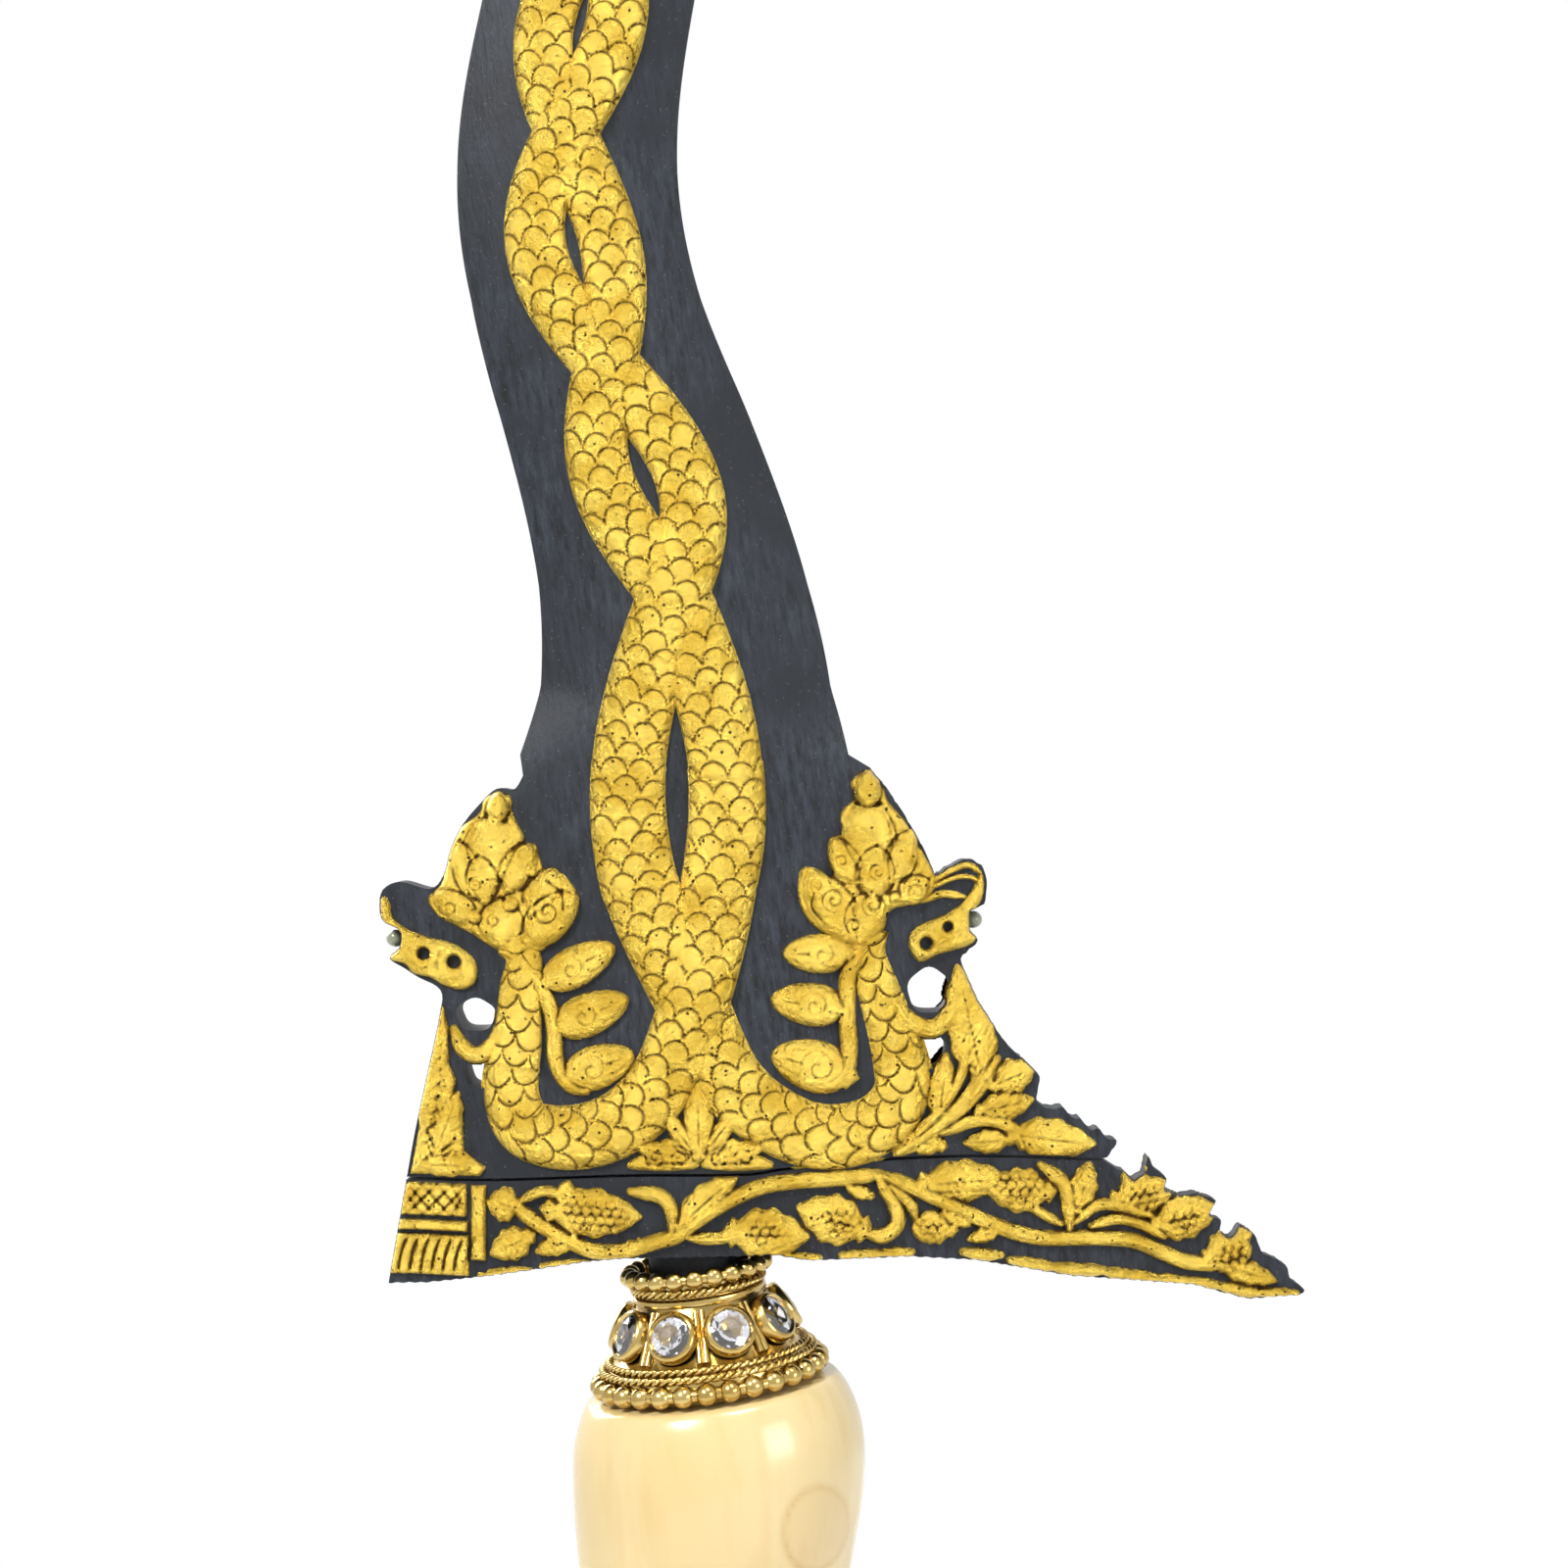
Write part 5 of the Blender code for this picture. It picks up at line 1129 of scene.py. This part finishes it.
class KRIS_OT_manes(KrisOperator, bpy.types.Operator):
    """Make the manes with their three leaves and the curls between the holes"""
    bl_idname = "kris.manes"
    bl_label = "Manes"

    def make(self):
        for side, stems, leaves, curl in (("left", LEFT_MANE_STEMS, LEFT_MANE_LEAVES, LEFT_CURL), ("right", RIGHT_MANE_STEMS, RIGHT_MANE_LEAVES, RIGHT_CURL)):
            spots = np.vstack([np.array(stems[0][0])] + [np.array(leaf[:2]) for leaf in leaves])
            relief = Relief(spots.min(0) - 3, spots.max(0) + 3, FINE)
            for root, tip, width in leaves:
                relief.leaf(root, tip, width, 1.15, veins=False, toothed=False)
                near = np.array(root) * 0.6 + np.array(tip) * 0.4
                relief.curl(near, width * 0.36, 1.4, 0.13)
                ahead = np.array(tip) - near
                beside = np.array([-ahead[1], ahead[0]]) * 0.28
                for bend in (-1, 0, 1):
                    relief.groove([near + ahead * share + beside * bend * spread for share, spread in ((0.35, 1), (0.65, 0.8), (0.88, 0.2))], 0.12, 0.14)
            for points, width in stems:
                relief.stem(points, width, 1.1)
            hook = Relief(np.min(curl[0], 0) - 2, np.max(curl[0], 0) + 2, FINE)
            hook.stem(*curl, 1.0)
            for face_name, front in (("front", -1), ("back", 1)):
                piece = relief.build(side + "_mane_gilding_" + face_name, front, finish_for("gold_leaf"))
                place(piece, "blade", "gold_leaf", side + "_mane_" + face_name)
                place(hook.build(side + "_curl_" + face_name, front, finish_for("gold_leaf")), "blade", "gold_leaf")


def panel_relief():
    relief = Relief(np.min(LEFT_PANEL, 0) - 1, np.max(LEFT_PANEL, 0) + 1, FINE)
    relief.mound(LEFT_PANEL, 0.8, 0.6, rounded=False)
    relief.leaf((-26.2, 10.4), (-24.0, 16.6), 3.2, 1.1)
    relief.leaf((-28.0, 9.2), (-21.6, 9.2), 2.6, 1.1)
    relief.leaf((-27.6, 11.6), (-25.9, 24.6), 2.4, 1.0, veins=False)
    for step in range(9):
        v = 11.0 + step * 1.35
        relief.groove(((-28.4 + 0.16 * step, v), (-27.4 + 0.17 * step, v + 1.5), (-26.2 + 0.12 * step, v + 2.4)), 0.12, 0.16)
    return relief


def tumpal_relief():
    relief = Relief(np.min(TUMPAL, 0) - 1, np.max(TUMPAL, 0) + 1, FINE)
    for side in (-1, 1):
        relief.mound([(0.3 + side * u, v) for u, v in ((0.4, 9.2), (7.2, 9.2), (5.4, 11.0), (3.4, 12.2), (1.6, 12.6), (0.5, 11.4))], 0.8, 0.7)
        relief.leaf((0.3 + side * 0.9, 11.2), (0.3 + side * 3.4, 14.6), 2.0, 1.15, toothed=False)
        relief.leaf((0.3 + side * 1.6, 10.2), (0.3 + side * 6.4, 11.4), 2.2, 1.1, toothed=False)
        relief.curl((0.3 + side * 4.4, 10.3), 1.1, 1.6, 0.22, side)
        relief.curl((0.3 + side * 2.0, 10.2), 0.9, 1.6, 0.22, -side)
    relief.leaf((0.2, 10.4), (0.1, 17.8), 3.2, 1.25, toothed=False)
    relief.groove(((-6.0, 9.7), (0.3, 9.7), (6.6, 9.7)), 0.1, 0.15)
    return relief


def flank_relief():
    relief = Relief((18.0, 8.6), (43.0, 30.5), FINE)
    relief.mound(FLANK_WEDGE, 0.8, 0.5, rounded=False)
    for root, tip, width in FLANK_LEAVES:
        relief.leaf(root, tip, width, 1.0)
    for points, width in FLANK_STEMS:
        relief.stem(points, width, 1.1)
    return relief


class KRIS_OT_flanks(KrisOperator, bpy.types.Operator):
    """Make the carved panel, the leafy flank and the pointed motif at the blade's foot"""
    bl_idname = "kris.flanks"
    bl_label = "Foot of the blade"

    def make(self):
        pieces = {"left_panel": panel_relief(), "tumpal": tumpal_relief(), "right_flank": flank_relief()}
        for relief in pieces.values():
            relief.trim(blade_outline())
        for face_name, front in (("front", -1), ("back", 1)):
            for name, relief in pieces.items():
                piece = relief.build(name + "_gilding_" + face_name, front, finish_for("gold_leaf"))
                place(piece, "blade", "gold_leaf", name + "_" + face_name)


def tile_relief():
    relief = Relief((-32.0, -3.4), (-20.2, 8.2), FINE)
    for (u0, v0), (u1, v1) in TILE_BOXES:
        slant = 0.0 if u0 > -23 else -0.35
        corners = ((u0 + slant, v0), (u1, v0), (u1, v1), (u0 - slant * 0.4, v1))
        relief.mound(corners, 0.85, 0.4, rounded=False)
    for step in range(-3, 7):
        u = -29.4 + step * 1.6
        for lean in (3.3, -3.3):
            line = np.clip(np.array(((u, 4.0), (u + lean, 7.3))), (-30.1, 4.0), (-23.0, 7.3))
            relief.groove(line, 0.13, 0.3)
    for step in range(7):
        u = -30.2 + step * 1.15
        relief.groove(((u, -1.7), (u + 0.35, 0.3), (u + 1.0, 2.0)), 0.16, 0.4)
    return relief


def vine_relief():
    relief = Relief((-22.0, -6.0), (62.5, 11.0), 0.13)
    for root, tip, width in VINE_LEAVES:
        relief.leaf(root, tip, width, 1.0)
    for points, width in VINE_STEMS:
        relief.stem(points, width, 1.1)
    for cluster in BERRIES:
        relief.berries(*cluster)
    for start, end in EDGE_LUMPS:
        relief.stem((start, ((start[0] + end[0]) / 2, (start[1] + end[1]) / 2 - 0.12), end), 1.35, 0.95, 0)
    return relief


class KRIS_OT_ganja_gilding(KrisOperator, bpy.types.Operator):
    """Make the tiled panel and the vine on the ganja"""
    bl_idname = "kris.ganja_gilding"
    bl_label = "Gilding of the ganja"

    def make(self):
        for name, relief in {"ganja_tile": tile_relief(), "ganja_vine": vine_relief()}.items():
            relief.trim(ganja_outline())
            for face_name, front in (("front", -1), ("back", 1)):
                piece = relief.build(name + "_gilding_" + face_name, front, finish_for("gold_leaf"))
                place(piece, "blade", "gold_leaf", name + "_" + face_name)


class KRIS_OT_pearls(KrisOperator, bpy.types.Operator):
    """Make the pearls in the serpents' mouths"""
    bl_idname = "kris.pearls"
    bl_label = "Pearls"

    def make(self):
        for name, (u, v) in PEARLS.items():
            points, faces = ball_grid(np.array([u, 0.0, v]), 0.95, 0.92, 20, 28)
            place(new_object(name + "_bead", to_world(points), faces, finish_for("pearl")), "blade", "pearl", name)


# The ferrule's levels, down from the ganja's underside.
BEAD_LEVEL, BEAD_SIZE, BEAD_REACH = -2.6, 1.0, 6.85
LIP_LEVEL, BAND_TOP, BAND_FOOT = -4.75, -5.4, -10.75
BAND_TOP_RADIUS, BAND_FOOT_RADIUS = 6.5, 9.3
FOOT_BEAD_LEVEL, FOOT_BEAD, FOOT_REACH = -13.1, 1.15, 11.1
HILT_LEVEL = -14.6
GEM_COUNT, GEM_RADIUS = 9, 2.15


class KRIS_OT_ferrule(KrisOperator, bpy.types.Operator):
    """Make the ferrule's cup, beads and twisted wires"""
    bl_idname = "kris.ferrule"
    bl_label = "Ferrule"

    def make(self):
        sizes = bpy.context.scene.kris_sizes
        bore = 5.0
        profile = [
            (bore, HILT_LEVEL + 0.35), (bore, -2.9), (6.2, -2.9), (6.2, -4.6), (6.5, -4.6), (6.75, -4.75), (6.8, -5.0),
            (6.75, -5.25), (BAND_TOP_RADIUS, BAND_TOP), (7.2, -6.9), (8.2, -8.9), (BAND_FOOT_RADIUS, BAND_FOOT),
            (9.75, -10.95), (10.2, -11.5), (10.6, -12.2), (10.6, -13.4), (10.2, HILT_LEVEL + 0.35),
        ]
        cup = turned("ferrule_cup_metal", profile, finish_for("ferrule_gold"), 128, True)
        place(cup, "ferrule", "ferrule_gold", "ferrule_cup")
        upper = bead_ring("upper_beads", BEAD_REACH, BEAD_LEVEL, BEAD_SIZE, sizes.beads_above)
        place(upper, "ferrule", "ferrule_gold", "upper_bead_ring")
        lower = bead_ring("lower_beads", FOOT_REACH, FOOT_BEAD_LEVEL, FOOT_BEAD, sizes.beads_below)
        place(lower, "ferrule", "ferrule_gold", "lower_bead_ring")
        ropes = (
            ("upper_rope", 6.5, -4.0, 0.45, 46), ("lower_rope_1", 10.05, -11.0, 0.4, 70), ("lower_rope_2", 10.75, -11.65, 0.4, 74),
        )
        for node, radius, height, thickness, twists in ropes:
            place(rope_ring(node + "_wire", radius, height, thickness, twists), "ferrule", "ferrule_gold", node)
        place(self.posts(), "ferrule", "ferrule_gold")

    def posts(self):
        """Folded upright ribs between the stones."""
        bm = bmesh.new()
        slope = math.atan2(BAND_FOOT_RADIUS - BAND_TOP_RADIUS, BAND_TOP - BAND_FOOT)
        middle = (BAND_TOP + BAND_FOOT) / 2
        radius = (BAND_TOP_RADIUS + BAND_FOOT_RADIUS) / 2 + 0.1
        for index in range(GEM_COUNT):
            turn = Matrix.Rotation(2 * math.pi * index / GEM_COUNT - math.pi / 2, 4, "Z")
            for side in (-1, 1):
                shift = Matrix.Translation((radius, side * 0.32, middle))
                made = bmesh.ops.create_cone(
                    bm, cap_ends=True, segments=12, radius1=0.42, radius2=0.26, depth=5.3,
                    matrix=turn @ shift @ Matrix.Rotation(-slope, 4, "Y"),
                )
                del made
        mesh = bpy.data.meshes.new("ferrule_ribs")
        bm.transform(Matrix.Scale(MM, 4) @ Matrix.Translation((0, 0, GRIP_TO_GANJA)))
        bm.to_mesh(mesh)
        bm.free()
        mesh.shade_smooth()
        mesh.set_sharp_from_angle(angle=math.radians(40))
        mesh.materials.append(finish_for("ferrule_gold"))
        ribs = bpy.data.objects.new("ferrule_ribs", mesh)
        bpy.context.scene.collection.objects.link(ribs)
        return ribs


def stone_mesh():
    """A round cut: table, star, crown, girdle and a pointed pavilion."""
    rings = (
        (0.52, 1.42, 8, 0.5), (0.80, 1.22, 8, 0.0), (1.0, 0.98, 16, 0.0), (1.0, 0.90, 16, 0.0), (0.5, 0.42, 8, 0.0),
    )
    points, starts = [], []
    for share, height, sides, offset in rings:
        starts.append(len(points))
        for step in range(sides):
            turn = 2 * math.pi * (step + offset) / sides
            points.append((GEM_RADIUS * share * math.cos(turn), GEM_RADIUS * share * math.sin(turn), height))
    points.append((0.0, 0.0, 0.12))
    faces = [list(range(8))]
    table_at, star, upper, lower, deep = starts
    point = len(points) - 1
    for step in range(8):
        after = (step + 1) % 8
        faces.append((table_at + step, star + step, star + after))
        faces.append((table_at + step, star + after, table_at + after))
        faces += [(star + step, upper + 2 * step, upper + 2 * step + 1), (star + step, upper + 2 * step + 1, star + after)]
        faces.append((star + after, upper + 2 * step + 1, upper + (2 * step + 2) % 16))
        faces += [(lower + 2 * step, deep + step, lower + 2 * step + 1), (lower + 2 * step + 1, deep + step, deep + after)]
        faces.append((lower + 2 * step + 1, deep + after, lower + (2 * step + 2) % 16))
        faces.append((deep + step, point, deep + after))
    for step in range(16):
        after = (step + 1) % 16
        faces.append((upper + step, lower + step, lower + after, upper + after))
    return points, faces


class KRIS_OT_stones(KrisOperator, bpy.types.Operator):
    """Make the nine cut stones and their collets"""
    bl_idname = "kris.stones"
    bl_label = "Stones"

    def make(self):
        slope = math.atan2(BAND_FOOT_RADIUS - BAND_TOP_RADIUS, BAND_TOP - BAND_FOOT)
        middle = (BAND_TOP + BAND_FOOT) / 2
        radius = (BAND_TOP_RADIUS + BAND_FOOT_RADIUS) / 2
        collet = [(1.9, 0.85), (2.2, 1.25), (2.42, 1.15), (2.6, 0.9), (2.65, 0.1), (1.4, 0.1), (1.4, 0.3)]
        points, faces = stone_mesh()
        for index in range(GEM_COUNT):
            turn = Matrix.Rotation(2 * math.pi * (index + 0.5) / GEM_COUNT - math.pi / 2, 4, "Z")
            seat = Matrix.Translation((0, 0, GRIP_TO_GANJA)) @ turn @ Matrix.Translation((radius, 0.0, middle))
            seat = Matrix.Scale(MM, 4) @ seat @ Matrix.Rotation(math.pi / 2 - slope, 4, "Y")
            number = str(index + 1)
            ring = turned("collet_wall_" + number, collet, finish_for("ferrule_gold"), 40, True, raised=0.0)
            ring.data.transform(Matrix.Scale(1 / MM, 4))
            ring.data.transform(seat)
            place(ring, "ferrule", "ferrule_gold", "collet_" + number)
            stone = new_object("stone_" + number, points, faces, finish_for("gem"), smooth=False)
            bm = bmesh.new()
            bm.from_mesh(stone.data)
            bmesh.ops.recalc_face_normals(bm, faces=bm.faces)
            bm.to_mesh(stone.data)
            bm.free()
            stone.data.transform(seat)
            place(stone, "ferrule", "gem", "gem_" + number)


# Hilt sections down from its top: depth, sideways shift, half width, half depth.
HILT_SECTIONS = (
    (0.0, 0.0, 12.5, 12.5), (0.5, 0.0, 13.0, 12.95), (2.0, 0.0, 13.8, 13.6), (4.6, -0.1, 14.6, 14.2), (8.0, -0.3, 14.9, 14.4),
    (13.0, -0.9, 14.7, 14.0), (18.4, -1.8, 14.0, 13.0), (24.5, -2.3, 12.7, 11.6), (33.0, -2.6, 11.7, 10.7),
    (44.0, -3.4, 11.5, 10.4), (56.0, -5.6, 12.4, 10.8), (70.0, -9.4, 13.7, 11.6), (82.0, -12.6, 13.5, 11.6), (86.5, -13.6, 12.8, 11.0),
    (87.6, -13.8, 12.1, 10.4),
)


class KRIS_OT_hilt(KrisOperator, bpy.types.Operator):
    """Make the polished hilt and the cloth wound on the tang"""
    bl_idname = "kris.hilt"
    bl_label = "Hilt"

    def make(self):
        sections = smooth_path(HILT_SECTIONS, 0.4)
        sides = 180
        turns = np.linspace(0, 2 * np.pi, sides, endpoint=False)
        x = sections[:, 1, None] + sections[:, 2, None] * np.cos(turns)
        y = sections[:, 3, None] * np.sin(turns)
        z = np.broadcast_to(GRIP_TO_GANJA + HILT_LEVEL - sections[:, 0, None], x.shape)
        points = np.stack([x, y, z], -1).reshape(-1, 3)
        count = len(sections)
        index = np.arange(count * sides).reshape(count, sides)
        beside = np.roll(index, -1, 1)
        faces = [tuple(face) for face in np.stack([index[:-1], index[1:], beside[1:], beside[:-1]], -1).reshape(-1, 4).tolist()]
        bore, floor_at = 5.0, -6.0
        rings = [(bore, GRIP_TO_GANJA + HILT_LEVEL), (bore, floor_at), (0.4, floor_at)]
        start = len(points)
        extra = np.array([[radius * math.cos(t), radius * math.sin(t), height] for radius, height in rings for t in turns])
        points = np.vstack([points, extra])
        chain = [index[0]] + [np.arange(sides) + start + sides * row for row in range(3)]
        for upper, lower in zip(chain, chain[1:]):
            faces += [(upper[i], upper[(i + 1) % sides], lower[(i + 1) % sides], lower[i]) for i in range(sides)]
        faces.append(tuple(int(i) for i in chain[-1]))
        faces.append(tuple(int(i) for i in index[-1][::-1]))
        mark = self.nerve_mark(points)
        faces = [tuple(int(i) for i in face) for face in faces]
        hilt = new_object("hilt_body", points * MM, faces, finish_for("hilt_bone"), mark)
        hilt.data.set_sharp_from_angle(angle=math.radians(45))
        place(hilt, "hilt", "hilt_bone", "hilt")
        self.wrap()

    def nerve_mark(self, points):
        """A faint oval ring on the bulb, where the tooth's nerve ran."""
        across, up = points[:, 0] - 8.9, points[:, 2] - 30.2
        reach = np.hypot(across / 3.4, up / 4.6)
        ring = np.clip(0.45 - across * 0.05, 0.15, 0.6) * np.exp(-((reach - 0.95) / 0.09) ** 2) + 0.22 * (reach < 0.95)
        return ring * (points[:, 1] < 0)

    def wrap(self):
        profile = [(3.5, -62.0), (4.6, -62.0)]
        for step in range(46):
            height = -61.5 + step
            profile += [(4.7, height), (4.45, height + 0.5)]
        profile += [(4.6, -16.0), (3.5, -16.0)]
        wrap = turned("wound_strip", profile, finish_for("wrap_cloth"), 48, True)
        place(wrap, "wrap", "wrap_cloth", "tang_wrap")


# ---- Stage ------------------------------------------------------------------
PHOTO_MIDDLE = (8.63, 47.35)
CAMERA_BACK = 274.0
FRAME_ANGLE = math.radians(32.4)


def pale_surface(name, colour):
    material, tree, shader = new_material(name)
    shader.inputs["Base Color"].default_value = colour
    shader.inputs["Roughness"].default_value = 0.8
    return material


class KRIS_OT_stage(KrisOperator, bpy.types.Operator):
    """Set the floor, the white surroundings, the soft lamps and the camera"""
    bl_idname = "kris.stage"
    bl_label = "Stage"

    def make(self):
        scene = bpy.context.scene
        low = CAD_BOX[0][2] - 0.0005
        bpy.ops.mesh.primitive_cylinder_add(vertices=128, radius=0.285, depth=0.004, location=(0, 0, low - 0.002))
        floor = bpy.context.object
        floor.name = "floor"
        floor.data.materials.append(pale_surface("pale_floor", (0.86, 0.86, 0.86, 1.0)))
        self.surroundings(scene)
        self.lamps()
        self.camera(scene)

    def surroundings(self, scene):
        world = bpy.data.worlds.new("studio")
        world.use_nodes = True
        tree = world.node_tree
        back = tree.nodes["Background"]
        back.inputs["Color"].default_value = (0.93, 0.96, 1.0, 1.0)
        back.inputs["Strength"].default_value = 0.35
        white = add_node(tree, "ShaderNodeBackground", (("Color", (1.0, 1.0, 1.0, 1.0)), ("Strength", 1.0)))
        path = add_node(tree, "ShaderNodeLightPath").outputs
        clear = add_node(tree, "ShaderNodeMath", ((0, path["Is Glossy Ray"]), (1, path["Is Transmission Ray"])), operation="MAXIMUM")
        seen = add_node(tree, "ShaderNodeMath", ((0, path["Is Camera Ray"]), (1, clear.outputs[0])), operation="MAXIMUM")
        blend = add_node(tree, "ShaderNodeMixShader", ((0, seen.outputs[0]), (1, back.outputs[0]), (2, white.outputs[0])))
        tree.links.new(blend.outputs[0], tree.nodes["World Output"].inputs["Surface"])
        scene.world = world

    def lamps(self):
        middle = Vector((0.0, 0.0, 0.12))
        for name, spot, size, watts in (
            ("key_lamp", (-0.3, -0.5, 0.62), 0.16, 7.0), ("fill_lamp", (0.6, -0.5, 0.15), 0.3, 2.0),
            ("back_lamp", (-0.4, 0.6, 0.5), 0.5, 6.0), ("top_lamp", (0.25, -0.3, 0.8), 0.25, 3.0),
        ):
            lamp = bpy.data.lights.new(name, "AREA")
            lamp.size = size
            lamp.energy = watts
            holder = bpy.data.objects.new(name, lamp)
            bpy.context.scene.collection.objects.link(holder)
            holder.location = spot
            holder.rotation_euler = (middle - Vector(spot)).to_track_quat("-Z", "Y").to_euler()

    def camera(self, scene):
        lens = bpy.data.cameras.new("view")
        lens.sensor_width = 36.0
        lens.lens = 18.0 / math.tan(FRAME_ANGLE / 2)
        lens.clip_start = 0.01
        camera = bpy.data.objects.new("view", lens)
        scene.collection.objects.link(camera)
        spot = FACE @ Vector((PHOTO_MIDDLE[0], -CAMERA_BACK, PHOTO_MIDDLE[1]))
        turn = Matrix.Rotation(LEAN, 4, "Y") @ Matrix.Rotation(math.pi / 2, 4, "X")
        camera.matrix_world = Matrix.Translation(spot * MM) @ turn
        scene.camera = camera
        scene.view_settings.view_transform = "Standard"


class KRIS_PT_panel(bpy.types.Panel):
    """Lists the makers in the sidebar"""
    bl_label = "Kris"
    bl_idname = "KRIS_PT_panel"
    bl_space_type = "VIEW_3D"
    bl_region_type = "UI"
    bl_category = "Kris"

    def draw(self, context):
        layout = self.layout
        for group in (context.scene.kris_sizes, context.scene.kris_colours):
            for name in group.__annotations__:
                layout.prop(group, name)
        for operator in OPERATORS:
            layout.operator(operator.bl_idname)


OPERATORS = (
    KRIS_OT_iron, KRIS_OT_serpents, KRIS_OT_heads, KRIS_OT_manes, KRIS_OT_flanks, KRIS_OT_ganja_gilding,
    KRIS_OT_pearls, KRIS_OT_ferrule, KRIS_OT_stones, KRIS_OT_hilt, KRIS_OT_stage,
)
CLASSES = (KrisSizes, KrisColours) + OPERATORS + (KRIS_PT_panel,)


def register():
    for each in CLASSES:
        bpy.utils.register_class(each)
    bpy.types.Scene.kris_sizes = bpy.props.PointerProperty(type=KrisSizes)
    bpy.types.Scene.kris_colours = bpy.props.PointerProperty(type=KrisColours)


def unregister():
    del bpy.types.Scene.kris_colours
    del bpy.types.Scene.kris_sizes
    for each in reversed(CLASSES):
        bpy.utils.unregister_class(each)


def main():
    register()
    bpy.ops.kris.iron()
    bpy.ops.kris.serpents()
    bpy.ops.kris.heads()
    bpy.ops.kris.manes()
    bpy.ops.kris.flanks()
    bpy.ops.kris.ganja_gilding()
    bpy.ops.kris.pearls()
    bpy.ops.kris.ferrule()
    bpy.ops.kris.stones()
    bpy.ops.kris.hilt()
    bpy.ops.kris.stage()


if __name__ == "__main__":
    main()
